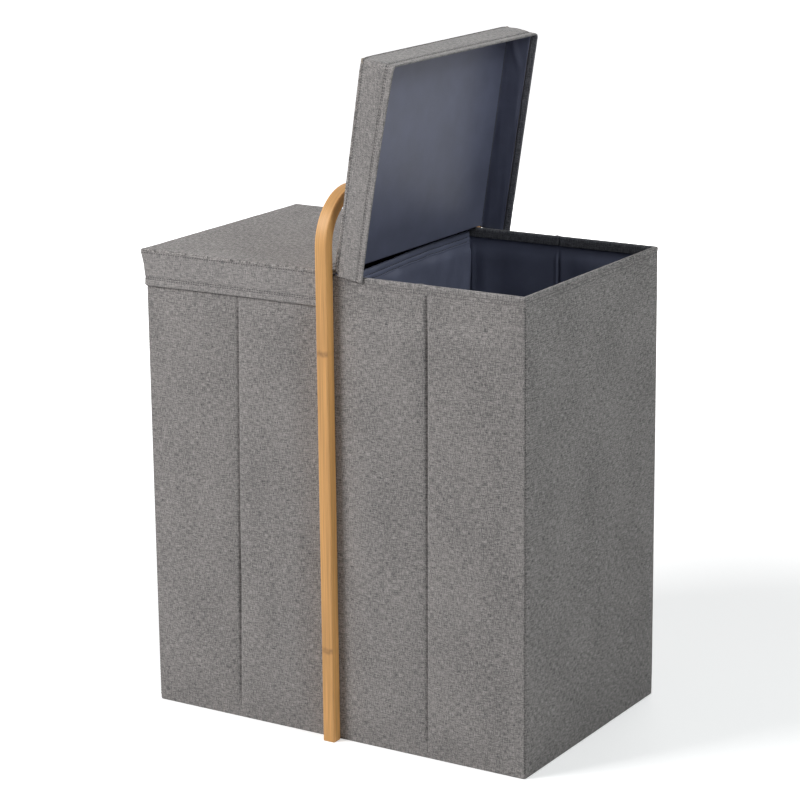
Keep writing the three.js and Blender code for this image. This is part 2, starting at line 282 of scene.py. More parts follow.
def stitches(name, middles, ways, ups, thread, body, slot, length, thick):
    """Many stitches in one piece: each a rounded bar of four rings of six points along its own way."""
    middles = np.array(middles, float)
    ways = unit(np.broadcast_to(ways, middles.shape))
    across = unit(np.cross(ups, ways))
    ups = np.cross(ways, across)
    turn = np.arange(6) * math.pi / 3
    thin = 0.45  # thickness of a stitch at its ends, against its middle
    step = np.array([-0.5, -0.3, 0.3, 0.5])[:, None] * length + 0 * turn
    size = np.array([thin, 1.0, 1.0, thin])[:, None] * thick
    parts = zip((step, size * np.cos(turn), size * np.sin(turn) * 0.8), (ways, across, ups))
    grid = middles[:, None, None] + sum(part[..., None] * way[:, None, None] for part, way in parts)
    base = (np.arange(len(middles)) * 24)[:, None, None]
    i, j = (part.ravel() for part in np.meshgrid(np.arange(3), np.arange(6), indexing="ij"))
    far = (j + 1) % 6
    sides = np.stack([i * 6 + j, i * 6 + far, (i + 1) * 6 + far, (i + 1) * 6 + j], axis=1)
    ladder = np.array([[0, 1, 4, 5], [1, 2, 3, 4]])
    one = np.concatenate([sides, ladder[:, ::-1], ladder + 18])
    piece = put_mesh(name, grid.reshape(-1, 3), (one[None] + base).reshape(-1, 4), None, (finish_of(thread),))
    ride(piece, body, slot)


def ride(piece, body, slot, *nodes):
    """The piece moves with the body and stands for the nodes, which it hides. The slot is not used."""
    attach(piece, body)
    if nodes:
        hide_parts(*nodes)


# Materials


class Nodes:
    """Fills in a node tree with values, links, sums and this file's own patterns."""

    def __init__(self, tree):
        self.tree = tree

    def put(self, node, **values):
        """Sets a node's own values and its inputs by name. A socket as a value is linked."""
        for key, value in values.items():
            if isinstance(value, bpy.types.NodeSocket):
                self.tree.links.new(value, node.inputs[key.replace("_", " ")])
            elif hasattr(node, key):
                setattr(node, key, value)
            else:
                node.inputs[key.replace("_", " ")].default_value = value
        return node

    def node(self, kind, **values):
        return self.put(self.tree.nodes.new(f"ShaderNode{kind}"), **values)

    def uv(self):
        """The cloth's own lay, in metres."""
        return self.node("UVMap", uv_map="lay").outputs["UV"]

    def own(self):
        """The object's coordinates."""
        return self.node("TexCoord").outputs["Object"]

    def grain(self, place, scale, detail, distortion=0.0):
        """Noise over a place that is first stretched by scale, which counts waves per metre."""
        mapping = self.node("Mapping", Scale=scale, Vector=place)
        noise = self.node("TexNoise", Scale=1.0, Detail=detail, Distortion=distortion)
        return self.put(noise, Vector=mapping.outputs["Vector"]).outputs["Fac"]

    def blend(self, factor, low, high, low_end, high_end):
        """A colour ramp from one colour to another between two places of a factor."""
        ramp = self.node("ValToRGB", Fac=factor)
        for element, position, colour in zip(ramp.color_ramp.elements, (low_end, high_end), (low, high)):
            element.position, element.color = position, (*colour, 1.0)
        return ramp.outputs["Color"]

    def maths(self, operation, *values):
        """One operation on sockets or plain numbers."""
        made = self.node("Math", operation=operation)
        for socket, value in zip(made.inputs, values):
            if isinstance(value, bpy.types.NodeSocket):
                self.tree.links.new(value, socket)
            else:
                socket.default_value = value
        return made.outputs["Value"]

    def times(self, a, b):
        return self.maths("MULTIPLY", a, b)

    def plus(self, a, b):
        return self.maths("ADD", a, b)

    def less(self, a, b):
        return self.maths("SUBTRACT", a, b)

    def parts(self, vector):
        """The three parts of a vector."""
        return self.node("SeparateXYZ", Vector=vector).outputs

    def ranged(self, value, from_low, from_high, to_low, to_high, kind="SMOOTHSTEP"):
        """The value carried over from one span to another."""
        made = self.node("MapRange", interpolation_type=kind, Value=value, From_Min=from_low,
                         From_Max=from_high, To_Min=to_low, To_Max=to_high)
        return made.outputs["Result"]

    def mixed(self, factor, a, b):
        """Colour a where the factor is zero, and b where it is one."""
        return self.node("Mix", data_type="RGBA", Factor=factor, A=a, B=b).outputs["Result"]

    def relief(self, shader, height, strength, distance):
        """Bump of the shader's normal by a height, which is a share of the distance."""
        bump = self.node("Bump", Strength=strength, Distance=distance, Height=height)
        self.put(shader, Normal=bump.outputs["Normal"])

    def in_sight(self):
        """One for rays from the camera and for rays that a glossy or clear face sends on."""
        rays = self.node("LightPath").outputs
        seen = self.maths("MAXIMUM", rays["Is Camera Ray"], rays["Is Glossy Ray"])
        return self.maths("MAXIMUM", seen, rays["Is Transmission Ray"])


def start_material(name, colour, roughness, **values):
    """A material, the nodes that fill it in and its main shader."""
    material = bpy.data.materials.new(name)
    material.use_nodes = True
    nodes = Nodes(material.node_tree)
    shader = material.node_tree.nodes["Principled BSDF"]
    return material, nodes, nodes.put(shader, Base_Color=(*colour, 1.0), Roughness=roughness, **values)


def shade(colour, factor):
    return tuple(float(c * factor) for c in colour)


def woven_material(name, colour, contrast, sheen=0.12):
    """A linen-look weave: slubbed threads along both directions of the cloth, over and under.

    The tone is 0.6 of the threads and 0.4 of the flecks, with a faint cloud over a hand's width.
    """
    material, nodes, shader = start_material(
        name, colour, 0.88, Sheen_Weight=sheen, Sheen_Roughness=0.5, Specular_IOR_Level=0.25)
    place = nodes.uv()
    along = nodes.grain(place, (110.0, 900.0, 1.0), 1.6)
    across = nodes.grain(place, (900.0, 140.0, 1.0), 1.6)
    fleck = nodes.grain(place, (1150.0, 1150.0, 1.0), 1.0)
    threads = nodes.times(nodes.plus(along, across), 0.5)
    mixed = nodes.plus(nodes.times(threads, 0.6), nodes.times(fleck, 0.4))
    cloud = nodes.less(nodes.grain(place, (15.0, 11.0, 1.0), 2.0), 0.5)
    mixed = nodes.plus(mixed, nodes.times(cloud, 0.06))
    cool = shade(np.array(colour) * (0.975, 1.0, 1.03), 1 - contrast)
    warm = shade(np.array(colour) * (1.025, 1.0, 0.975), 1 + contrast)
    nodes.put(shader, Base_Color=nodes.blend(mixed, cool, warm, 0.4, 0.6))
    turns = 2 * math.pi / (1.1 * MM)  # a thread each 1.1 mm
    warp, weft = (nodes.maths("SINE", nodes.times(way, turns)) for way in nodes.parts(place)[:2])
    height = nodes.plus(nodes.times(nodes.times(warp, weft), 0.2), threads)
    nodes.relief(shader, height, 0.3, 0.4 * MM)
    return material


def lining_material(name, colour):
    """Smooth coated cloth: a fine tight weave under a soft sheen, a little cloudy in tone and gloss."""
    material, nodes, shader = start_material(name, colour, 0.46, Specular_IOR_Level=0.35)
    place = nodes.uv()
    cloud = nodes.grain(place, (22.0, 22.0, 1.0), 4.0)
    weave = nodes.grain(place, (900.0, 900.0, 1.0), 1.0)
    both = nodes.plus(nodes.times(cloud, 0.7), nodes.times(weave, 0.3))
    tone = nodes.blend(both, shade(colour, 0.88), shade(colour, 1.12), 0.35, 0.65)
    gloss = nodes.ranged(cloud, 0.0, 1.0, 0.42, 0.5, "LINEAR")
    nodes.put(shader, Base_Color=tone, Roughness=gloss)
    creases = nodes.grain(place, (34.0, 26.0, 1.0), 1.5, distortion=0.3)
    nodes.relief(shader, nodes.plus(nodes.times(weave, 0.05), creases), 0.12, 1.2 * MM)
    return material


def bamboo_material(name, colour):
    """Lacquered bamboo: long fibres, and a mottled brown band across the faces at every grown joint.

    The front and back faces are told from the two thin side faces by how far they lie from x = 0. The thin
    side faces take a copy of the tone up to 1.5 times lighter, as painted light.
    """
    material, nodes, shader = start_material(name, colour, 0.54, Coat_Weight=0.03, Coat_Roughness=0.25)
    place = nodes.uv()
    fibre = nodes.grain(place, (12.0, 1300.0, 1.0), 3.0)
    streak = nodes.grain(place, (5.0, 260.0, 1.0), 2.0)
    both = nodes.plus(nodes.times(fibre, 0.55), nodes.times(streak, 0.45))
    broad = nodes.blend(both, shade(colour, 0.74), shade(colour, 1.17), 0.37, 0.63)
    # painted light: the thin side faces take the bamboo tone up to 1.5 times lighter, as if lit more
    side_faces_painted_lighter = nodes.blend(both, shade(colour, 1.0), shade(colour, 1.5), 0.37, 0.63)
    first_joint, joint_step = 124.0 * MM, 381.5 * MM
    wander = nodes.times(nodes.grain(place, (20.0, 200.0, 1.0), 3.0), 7 * MM)
    run = nodes.plus(nodes.parts(place)["X"], wander)
    part = nodes.maths("FRACT", nodes.maths("DIVIDE", nodes.less(run, first_joint), joint_step))
    nearest = nodes.maths("MINIMUM", part, nodes.less(1.0, part))
    band = nodes.ranged(nearest, 0.002, 0.0145, 1.0, 0.0)
    spots = nodes.ranged(nodes.grain(place, (260.0, 160.0, 1.0), 4.0), 0.3, 0.7, 0.3, 0.6)
    off_middle = nodes.maths("ABSOLUTE", nodes.parts(nodes.own())["X"])
    face = nodes.ranged(off_middle, 7.3 * MM, 8.15 * MM, 1.0, 0.12)
    stain = nodes.times(nodes.times(band, spots), face)
    dark = (*bpy.context.scene.hamper_colours.knuckle, 1.0)
    nodes.put(shader, Base_Color=nodes.mixed(stain, nodes.mixed(face, side_faces_painted_lighter, broad), dark))
    nodes.relief(shader, nodes.plus(both, stain), 0.12, 0.2 * MM)
    return material


def plain_material(name, colour, roughness, scale, contrast, metallic=0.0):
    """A carried-over part's or a thread's finish: grain over the object's own coordinates."""
    material, nodes, shader = start_material(name, colour, roughness, Metallic=metallic)
    grit = nodes.grain(nodes.own(), scale, 4.0)
    tone = nodes.blend(grit, shade(colour, 1 - contrast), shade(colour, 1 + contrast), 0.3, 0.7)
    nodes.put(shader, Base_Color=tone)
    nodes.relief(shader, grit, 0.1, 0.3 * MM)
    return material


EVEN = (900.0, 900.0, 900.0)
FINISHES = {  # maker, colour of the sidebar, shade of it, and the rest that the maker asks for
    "heather weave": (woven_material, "woven", 1.0, 0.67),
    "side wall weave": (woven_material, "woven", 1.0, 0.84),
    # painted light: the cloth of the lids and of the hinge strip is the walls' weave made 1.14 times lighter,
    # as if lit more from above
    "lid weave": (woven_material, "woven", 1.14, 0.54),
    "lid top weave": (woven_material, "woven", 1.14, 0.85),
    "charcoal weave": (woven_material, "reverse", 1.6, 0.6, 0.05),
    # the charcoal reverse of the cloth; on the lids' hems and tapes it is made 2.3 times lighter instead of
    # 1.6, which is painted light
    "lid reverse": (woven_material, "reverse", 2.3, 0.6, 0.08),
    # painted light: the hem over the divider is the same coated lining made 1.3 times lighter, as if lit more
    "hem lining": (lining_material, "lining", 1.3),
    "coated lining": (lining_material, "lining", 1.0),
    "lacquered bamboo": (bamboo_material, "bamboo", 1.0),
    # stitching threads made darker than the cloth: painted shade of the needle dents and seam grooves along
    # them
    "grey thread": (plain_material, "woven", 0.3, 0.8, EVEN, 0.2),
    "rim thread": (plain_material, "woven", 0.62, 0.8, EVEN, 0.2),
    "dark thread": (plain_material, "reverse", 0.9, 0.8, EVEN, 0.2),
    "grey board": (plain_material, "board", 1.0, 0.9, (300.0, 300.0, 300.0), 0.12),
    "sawn batten": (plain_material, "batten", 1.0, 0.7, (900.0, 900.0, 25.0), 0.2),
    "zinc": (plain_material, "zinc", 1.0, 0.35, (600.0, 600.0, 60.0), 0.1, 1.0),
}


def finish_of(key):
    """The named material, made from the colours in the sidebar when it is first asked for."""
    if key in bpy.data.materials:
        return bpy.data.materials[key]
    maker, colour, factor, *rest = FINISHES[key]
    return maker(key, shade(getattr(bpy.context.scene.hamper_colours, colour), factor), *rest)


# Sheets of cloth


def cloth(name, middle, thickness, finishes, body, slot, nodes, flat, rests_on,
          held="stretched", area=None, **more):
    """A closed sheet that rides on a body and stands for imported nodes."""
    piece = sheet_mesh(name, middle, thickness, finishes, **more)
    ride(piece, body, slot, *nodes)


def hem_zones(middle, hem_from):
    """The finish of each quad: the second one from the first quad of the hem on."""
    zones = np.zeros((middle.shape[0] - 1, middle.shape[1] - 1), int)
    zones[:, hem_from:] = 1
    return zones


# Body walls

WALLS = {  # half the length, the middle of the foot, the way along and the way in
    "front": (HALF_WIDTH, (0, -HALF_DEPTH, 0), (1, 0, 0), (0, 1, 0)),
    "right": (HALF_DEPTH, (HALF_WIDTH, 0, 0), (0, 1, 0), (-1, 0, 0)),
    "back": (HALF_WIDTH, (0, HALF_DEPTH, 0), (-1, 0, 0), (0, -1, 0)),
    "left": (HALF_DEPTH, (-HALF_WIDTH, 0, 0), (0, -1, 0), (1, 0, 0)),
}


def on_wall(side, place, deep):
    """Points at height zero from the way along a wall and the depth into it."""
    _, centre, along, inward = (np.array(part, float) for part in WALLS[side])
    return centre + place[..., None] * along + np.asarray(deep)[..., None] * inward


def arc(depth, height, radius, start, stop, count):
    """Part of a circle in a section, by the angle of the outward direction from minus depth, towards z."""
    turn = np.linspace(start, stop, count)
    out, up = -np.cos(turn), np.sin(turn)
    return depth + radius * out, height + radius * up, out, up


def wall_section(sizes):
    """The section of a wall's cloth: a curl at the floor, up the outside, over the rim, down the hem.

    It gives the depth, the height, the two parts of the outward direction and the hem's first quad.
    """
    half, over, curl = sizes.cloth / 2, sizes.rim_fold, 1.2 * MM
    fold_height = RIM - half - over
    rows = (RIM - sizes.row_high, RIM - sizes.row_low)
    up = spaced(half + curl, fold_height, 8 * MM, 0.9 * MM, (*rows, half + curl), 3 * MM)[1:-1]
    down = spaced(RIM - sizes.rim_hem, fold_height, 6 * MM, 0.9 * MM, rows, 1.5 * MM)[::-1][1:]
    foot = arc(half + curl, half + curl, curl, -math.pi / 2, 0, 5)
    fold = arc(half + over, fold_height, over, 0, math.pi, 11)
    parts = (foot, (half, up, -1.0, 0.0), fold, (half + 2 * over, down, 1.0, 0.0))
    parts = zip(*(np.broadcast_arrays(*part) for part in parts))
    return (*(np.concatenate(part) for part in parts), len(foot[0]) + len(up) + 6)


def seam_line(side, line, height):
    """Where a fold seam runs: it leans with height, the left front one by 20 mm in a metre."""
    start, lean = (-3.7 * MM, 0.0202) if side == "front" and line < 0 else (-3.0 * MM, 0.006)
    return line + start + lean * height


def wall_cloth(side, sizes):
    """One wall's cloth, folded over the rim.

    Along the wall the plan is straight and ends in an eighth of a circle that meets the next wall's.
    The outside is pushed out by a crown, 1 - e^(-distance / 12 mm) away from each leaning seam and
    smooth toward the corners and the strip's legs, and pulled in by a bell curve along each fold seam
    and each row of stitches. The groove of the right front seam is wider and deeper above the crown,
    up to the lower row, and has a lip to either side of it.
    """
    half = WALLS[side][0]
    depth, height, out, up, hem_from = wall_section(sizes)
    wide = side in ("front", "back")
    seams = (-FOLD_SEAM, FOLD_SEAM) if wide else ()
    fine = (-9 * MM, 9 * MM, -FOLD_SEAM + 7 * MM, -FOLD_SEAM - 3 * MM) if wide else ()
    run = spaced(-half, half, 6 * MM, 0.7 * MM, (*seams, -half, half, *fine), 4.5 * MM)
    radius = 0.35 * MM + 1.6 * MM * (1 - smooth(RIM - 6 * MM, RIM - 1 * MM, height)) * (out <= 0)
    quarter = radius * math.pi / 4
    edge = (half - np.abs(run))[:, None]
    turn = np.where(edge < quarter, math.pi / 4 - edge / radius, 0.0)
    straight = (half - depth - radius) * (1 - (edge - quarter) / (half - quarter))
    place = np.where(edge < quarter, half - depth - radius + radius * np.sin(turn), straight)
    place = place * np.sign(run + 1e-12)[:, None]
    deep = depth + radius * (1 - np.cos(turn))
    above_crown = smooth(*CROWN_END, height)
    span_up = smooth(3 * MM, 40 * MM, height) * (1 - above_crown)
    below_row = 1 - smooth(RIM - sizes.row_low - 2.5 * MM, RIM - sizes.row_low + 0.5 * MM, height)
    if wide:
        away = smooth(0, 60 * MM, half - np.abs(place)) * smooth(LEG_REACH, 60 * MM, np.abs(place))
        lifted = 1.2 * MM * span_up * away
        for line in seams:
            away = away * (1 - np.exp(-np.abs(place - seam_line(side, line, height)) / (12 * MM)))
    else:
        away, lifted = 0.4 * (1 - np.exp(-(half - np.abs(place)) / (9 * MM))), 0.0
    top = above_crown * below_row * (side == "front")
    beside = place - seam_line(side, FOLD_SEAM, height)
    lips = (1 + 0.5 * smooth(1 * MM, -1 * MM, beside)) * (1 - smooth(4 * MM, 15 * MM, np.abs(beside)))
    lifted = lifted + lips * MM * top
    seed = list(WALLS).index(side) * 10
    crown = away * span_up * (sizes.crown + 0.35 * MM * waves(place, height, seed + 1, 75 * MM)) + lifted
    slack = smooth(2 * MM, 20 * MM, height) * (1 - smooth(560 * MM, 575 * MM, height))
    crown = crown + 0.22 * MM * away * slack * waves(place, height, seed + 2, 28 * MM)
    groove = 0.0
    for line in seams:
        at = seam_line(side, line, height)
        lowest = (0.2 + 0.6 * top) * MM + lifted + sizes.seam_groove * bell(at - line, 0.9 * MM)
        groove = groove + bell(place - at + 0.7 * MM * top, (1.3 + 0.6 * top) * MM) * lowest
    groove = groove * below_row * smooth(1 * MM, 5 * MM, height)
    rows = sum(bell(height - (RIM - drop), 1.0 * MM) for drop in (sizes.row_high, sizes.row_low))
    outer = out < 0
    pinch = 0.6 * MM * bell(edge, 0.8 * MM) * outer * (1 - smooth(RIM - 22 * MM, RIM - 4 * MM, height))
    push = (crown - groove) * outer - 0.25 * MM * rows * (out <= 0) - pinch
    past_crease = np.abs(place) - INNER_CREASE
    tuck = 1.2 * MM * bell(past_crease, 0.8 * MM) * (out > 0) * wide
    bump = 0.9 * MM * bell(past_crease + 3 * MM, 2.2 * MM) * np.maximum(up, 0) * wide
    place = place + push * np.abs(out) * np.sin(turn) * np.sign(run)[:, None] * outer
    middle = on_wall(side, place, deep + push * out * np.cos(turn) - tuck)
    middle[..., 2] = height + push * up + bump
    v = np.concatenate([[0.0], np.cumsum(np.hypot(np.diff(depth), np.diff(height)))])
    finishes = ("heather weave" if wide else "side wall weave", "charcoal weave")
    cloth(f"{side}_wall_cloth", middle, sizes.cloth, finishes, "body", "woven_cloth", (f"{side}_cover",),
          flat=(2 * half, float(v[-1])),
          rests_on=[f"left_{side}_outer_board" if wide else f"{side}_board"],
          zones=hem_zones(middle, hem_from), uv=points_of(run[:, None] + half, v))


def floor_cloth(sizes):
    """The cloth under both bins, flat on the floor, its edge sewn inside the curl of the walls."""
    inset = 2.1 * MM
    x, y = (spaced(-half + inset, half - inset, 12 * MM) for half in (HALF_WIDTH, HALF_DEPTH))
    cloth("floor_cloth", points_of(x[:, None], y, sizes.cloth / 2), sizes.cloth * 0.96, ("heather weave",),
          "body", "woven_cloth", ("floor_cover",), flat=(2 * HALF_WIDTH, 2 * HALF_DEPTH),
          rests_on=["left_board", "right_board"])


def rounded_ring(low, high, radius, coarse, lines):
    """A rounded rectangle in plan, counter-clockwise: places, outward directions, side number and run."""
    parts = []
    corners = np.array([(low[0], low[1]), (high[0], low[1]), (high[0], high[1]), (low[0], high[1])])
    for k in range(4):
        here, there = corners[k], corners[(k + 1) % 4]
        length = np.linalg.norm(there - here)
        way = (there - here) / length
        out = np.array([way[1], -way[0]])
        run = spaced(radius, length - radius, coarse, 1.5 * MM, (*lines[k], radius, length - radius), 5 * MM)
        parts.append((here + run[:, None] * way, np.tile(out, (len(run), 1)), 0 * run + k, run))
        turn = np.linspace(0, math.pi / 2, 6)[1:-1]
        round_out = out * np.cos(turn)[:, None] + way * np.sin(turn)[:, None]
        parts.append((there - (way + out - round_out) * radius, round_out, 0 * turn + k, 0 * turn + length))
    return (np.concatenate(part) for part in zip(*parts))


def divider_top(y):
    """How high the hem over the divider stands: a little higher toward the back."""
    return 588.6 * MM + 5.2 * MM * smooth(-110 * MM, 70 * MM, y)


def bin_lining(side, sizes):
    """The lining of a bin: a tube on a rounded rectangle, and a bottom sheet.

    The tube's wall is pushed into the bin by soft upright folds: waves of the running length whose
    phase leans with height, deepest in the upper half. To them come a bow beside the divider's back
    corner, slack high on the divider's side, a drape over the whole wall, a notch beside each corner,
    and at each crease of the front and the back a ridge on one side and a shoulder on the other. The
    divider's side lies close low down. The top edge lies under the rim's hem, and under the divider's
    hem on that side.
    """
    sign, half = SIGN[side], sizes.lining / 2
    low, high = LINING_LOW[:2] + half, LINING_HIGH[:2] - half
    width, depth = high - low
    seam = INNER_CREASE - low[0]
    places, ways, sides, runs = rounded_ring(low, high, 1.2 * MM, 4.5 * MM, ([seam], [], [width - seam], []))
    bottom = LINING_LOW[2] + half + 0.5 * MM
    under_hem = (places[:, 0] < low[0] + 2.4 * MM) & (np.abs(places[:, 1]) < high[1] - 1.4 * MM)
    top = np.where(under_hem, 583.0 * MM, 594.6 * MM)[:, None]
    about = 0.59  # the tube's height in metres, for the steps of the grid
    tall = bottom + (top - bottom) * spaced(0, 1, 9 * MM / about, 2 * MM / about, (1,), 12 * MM / about)
    run, on_divider = runs[:, None], (sides == 3)[:, None]
    left_over = np.where(sides % 2 == 0, width, depth)[:, None] - run
    ends = smooth(0, 28 * MM, run) * smooth(0, 28 * MM, left_over)
    near = smooth(0.5 * MM, 6 * MM, run) * smooth(0.5 * MM, 6 * MM, left_over)
    deep = smooth(285 * MM, 420 * MM, tall) * (1 - smooth(555 * MM, 585 * MM, tall))
    above_floor = smooth(20 * MM, 60 * MM, tall)
    shape = 0.5 + 0.5 * waves(run + 0.12 * tall, tall * 0.22, 31 + int(sign), 46 * MM)
    fine = 0.5 + 0.5 * waves(run + 0.2 * tall, tall * 0.35, 41, 17 * MM)
    fold = ends * (deep * (2.2 * MM * shape + 0.5 * MM * fine) + above_floor * 0.7 * MM * shape * (1 - deep))
    bow = on_divider * smooth(300 * MM, 420 * MM, tall)
    bow = bow * bell(run - (9 * MM + 30 * MM * smooth(575 * MM, 380 * MM, tall)), 5 * MM)
    drape = waves(run * 0.45 + 0.35 * tall, tall, 47 + int(sign), 85 * MM) * ends
    drape = drape * smooth(30 * MM, 90 * MM, tall) * (1 - smooth(578 * MM, 590 * MM, tall))
    loose = on_divider * ends * smooth(400 * MM, 530 * MM, tall)
    loose = loose * (0.5 + 0.5 * waves(run, tall * 0.3, 43, 34 * MM))
    notch = bell(run - 4.5 * MM, 2.2 * MM) + bell(left_over - 4.5 * MM, 2.2 * MM)
    crease = ridge = shoulder = 0.0
    for k, past in ((0, run - seam), (2, width - seam - run)):
        here, beyond = (sides == k)[:, None], past - 3.5 * MM
        crease = crease + here * bell(past, 1.2 * MM)
        ridge = ridge + here * bell(past + 2.6 * MM, 1.2 * MM)
        falling = np.exp(-np.maximum(beyond, 0) / (9 * MM))
        shoulder = shoulder + here * np.where(beyond < 0, bell(beyond, 1.6 * MM), falling)
    push = fold + 3.6 * MM * bow + 2.2 * MM * loose + 1.3 * MM * (0.9 + drape) * near
    push = push + 1.4 * MM * (notch + shoulder) * smooth(60 * MM, 160 * MM, tall)
    push = (np.maximum(push, 0.0) + 1.5 * MM * ridge * above_floor) * (1 - crease)
    push = push * (1 - smooth(566 * MM, 580 * MM, tall))
    push = push * np.where(on_divider, smooth(20 * MM, 330 * MM, tall), 1.0)
    plan = places[:, None] - ways[:, None] * push[..., None]
    middle = np.concatenate([plan, tall[..., None]], axis=2) * (sign, 1, 1)
    common = ("body", "coated_lining", (f"{side}_lining",))
    cloth(f"{side}_bin_lining", middle, sizes.lining, ("coated lining",), *common,
          flat=(2 * (width + depth), float(top.max()) - bottom), rests_on=[f"{side}_board", "divider_board"],
          held="hung", ring=True, mirrored=sign < 0)
    inset = 1.0 * MM
    x, y = (spaced(low[k] + inset, high[k] - inset, 12 * MM) for k in (0, 1))
    middle = points_of(x[:, None] * sign, y, LINING_LOW[2] + half)
    cloth(f"{side}_bin_base_lining", middle, sizes.lining * 0.9, ("coated lining",), *common,
          flat=(width, depth), rests_on=["floor_cloth"], held="laid", mirrored=sign < 0)


def divider_hem(sizes):
    """The hem over the divider: an upturned U section with a waving lower edge, swept front to back.

    The section's heights count from its lower edge, which follows the line of the divider's top.
    """
    over, deep, end = 2.0 * MM, sizes.divider_hem, 164.2 * MM
    y = spaced(-end, end, 4 * MM, 1.5 * MM, (-164 * MM, 164 * MM), 4 * MM)[:, None]
    rows = (2.2 * MM, 8.2 * MM)
    rise = spaced(0, deep - over, 3 * MM, 0.7 * MM, rows, 1.5 * MM)
    turn = np.linspace(0, math.pi, 9)[1:-1]
    stretches = (rise, turn, rise)
    x = joined(stretches, over, over * np.cos(turn), -over)
    z = joined(stretches, rise, deep - over + over * np.sin(turn), rise[::-1])
    out = joined(stretches, 1, np.cos(turn), -1)

    def swell(y, z, x):
        """How far the slack cloth stands off the divider."""
        return 0.6 * MM * (0.5 + 0.5 * waves(y, z * 2 + x * 9, 61, 26 * MM))

    def foot(y, z):
        """How high the section's foot stands under the height z of the section, with its wave."""
        wave = 0.7 * MM * waves(y, 0 * y, 62, 48 * MM) * smooth(deep - 3 * MM, 0, z)
        return divider_top(y) - deep - 0.3 * MM + wave

    pull = 0.45 * MM * sum(bell(z - row, 0.9 * MM) for row in rows)
    slack = swell(y, z, x) * smooth(deep, deep - 5 * MM, z)
    middle = points_of(x + out * (slack - pull), y, foot(y, z) + z)
    cloth("divider_hem", middle, 0.55 * MM, ("hem lining",), "body", "coated_lining",
          ("left_lining", "right_lining"), flat=(2 * end, float(along_path(middle, 1)[-1])),
          rests_on=["divider_board"], held="folded", mirrored=True)
    place = np.arange(-160 * MM, 160 * MM, 3.6 * MM)
    for side, sign in SIGN.items():
        for number, row in enumerate(rows):
            off = over + swell(place, row, sign * over) + 0.1 * MM
            middles = points_of(sign * off, place, foot(place, row) + row)
            stitches(f"divider_{side}_stitches_{number + 1}", middles, (0, 1, 0), (sign, 0, 0), "dark thread",
                     "body", "coated_lining", 2.5 * MM, sizes.thread)


def rim_stitches(sizes):
    """Two rows of stitches round the outside of the rim, and two closer ones inside, on the hem.

    The outer rows stop beside the strip's legs.
    """
    inner_face = sizes.cloth + 2 * sizes.rim_fold
    for side, (half, _, along, inward) in WALLS.items():
        for number, drop in enumerate((sizes.row_high, sizes.row_low)):
            for face, turn, depth, down, thread in (
                ("outer", -1, 0.02 * MM, drop, "rim thread"),
                ("inner", 1, inner_face - 0.02 * MM, 8.6 * MM + 2 * MM * number, "dark thread"),
            ):
                reach = half - 4 * MM - depth
                place = np.arange(-reach, reach, sizes.stitch_pitch)
                if face == "outer" and side in ("front", "back"):
                    place = place[np.abs(place) > LEG_REACH]
                spot = on_wall(side, place, depth - turn * 0.2 * MM)
                spot[:, 2] = RIM - down + 0.35 * MM * waves(place, 0 * place, 71 + number, 60 * MM)
                name = f"{side}_{face}_rim_stitches_{number + 1}"
                stitches(name, spot, along, turn * np.array(inward), thread, "body", "woven_cloth",
                         sizes.stitch_length, sizes.thread)


def corner_seam_shade_stitches(sizes):
    """A row of stitches up each corner seam, in the pinch where two walls meet, in thread darker than the
    cloth: a painted shade line down the seam.
    """
    height = np.arange(8 * MM, RIM - sizes.row_low, sizes.stitch_pitch)[:, None]
    inward = 2.45 * MM * (math.sqrt(2) - 1) + 0.45 * MM
    for number, (sx, sy) in enumerate(((1, -1), (1, 1), (-1, 1), (-1, -1))):
        out = np.array([sx, sy, 0]) / math.sqrt(2)
        spot = np.array([sx * HALF_WIDTH, sy * HALF_DEPTH, 0]) - out * inward + height * (0, 0, 1)
        stitches(f"corner_seam_stitches_{number + 1}", spot, (0, 0, 1), out, "grey thread",
                 "body", "woven_cloth", sizes.stitch_length, sizes.thread)


def hinge_strip_cloth():
    """The cloth strip that lies over the rims above the divider: a flat oval section, front to back."""
    low, high = span("hinge_strip")
    half, end = float(high[0]) - 2.8 * MM, 170.4 * MM
    top, under = float(high[2]), float(low[2])
    tall = (top - under) / 2
    turn = np.linspace(0, 2 * math.pi, 33)[:-1]
    c, s = np.cos(turn), np.sin(turn)
    x = (half - tall) * np.sign(c) * np.minimum(1, np.abs(c) * 1.25) + tall * c
    z = under + tall + tall * np.sign(s) * np.abs(s) ** 0.6
    y = spaced(-end, end, 6 * MM, 1.5 * MM, (-170 * MM, 170 * MM), 4 * MM)[:, None]
    ripple = 0.25 * MM * waves(y, x * 2, 51, 30 * MM) * (s > 0.1)
    strip = bar_mesh("hinge_strip_cloth", points_of(x, y, z + ripple - 0.1 * MM)[:, ::-1], "lid weave")
    ride(strip, "body", "woven_cloth", "hinge_strip")


# Lids


def place_lid(side, reach, across, rise, opening=None):
    """Lid places to the model: reach from the hinge line, across the depth, and rise over the hinge line.

    The point turns about the hinge line by the opening angle, and x is mirrored for the left lid.
    """
    angle = OPEN_ANGLE[side] if opening is None else opening
    c, s = np.cos(angle), np.sin(angle)
    return points_of(SIGN[side] * (HINGE_X + reach * c - rise * s), across, HINGE_Z + reach * s + rise * c)


def rolled(length, turns, count):
    """A section by its own bend: the slope is read between turns at equal steps and summed up."""
    run = np.linspace(0, 1, 400)
    slope = np.interp(run, np.linspace(0, 1, len(turns)), np.radians(turns))
    slope = (slope[1:] + slope[:-1]) / 2
    sums = (np.concatenate([[0.0], np.cumsum(part(slope)) * length / 399]) for part in (np.cos, np.sin))
    return (np.interp(np.linspace(0, 1, count), run, part) for part in sums)


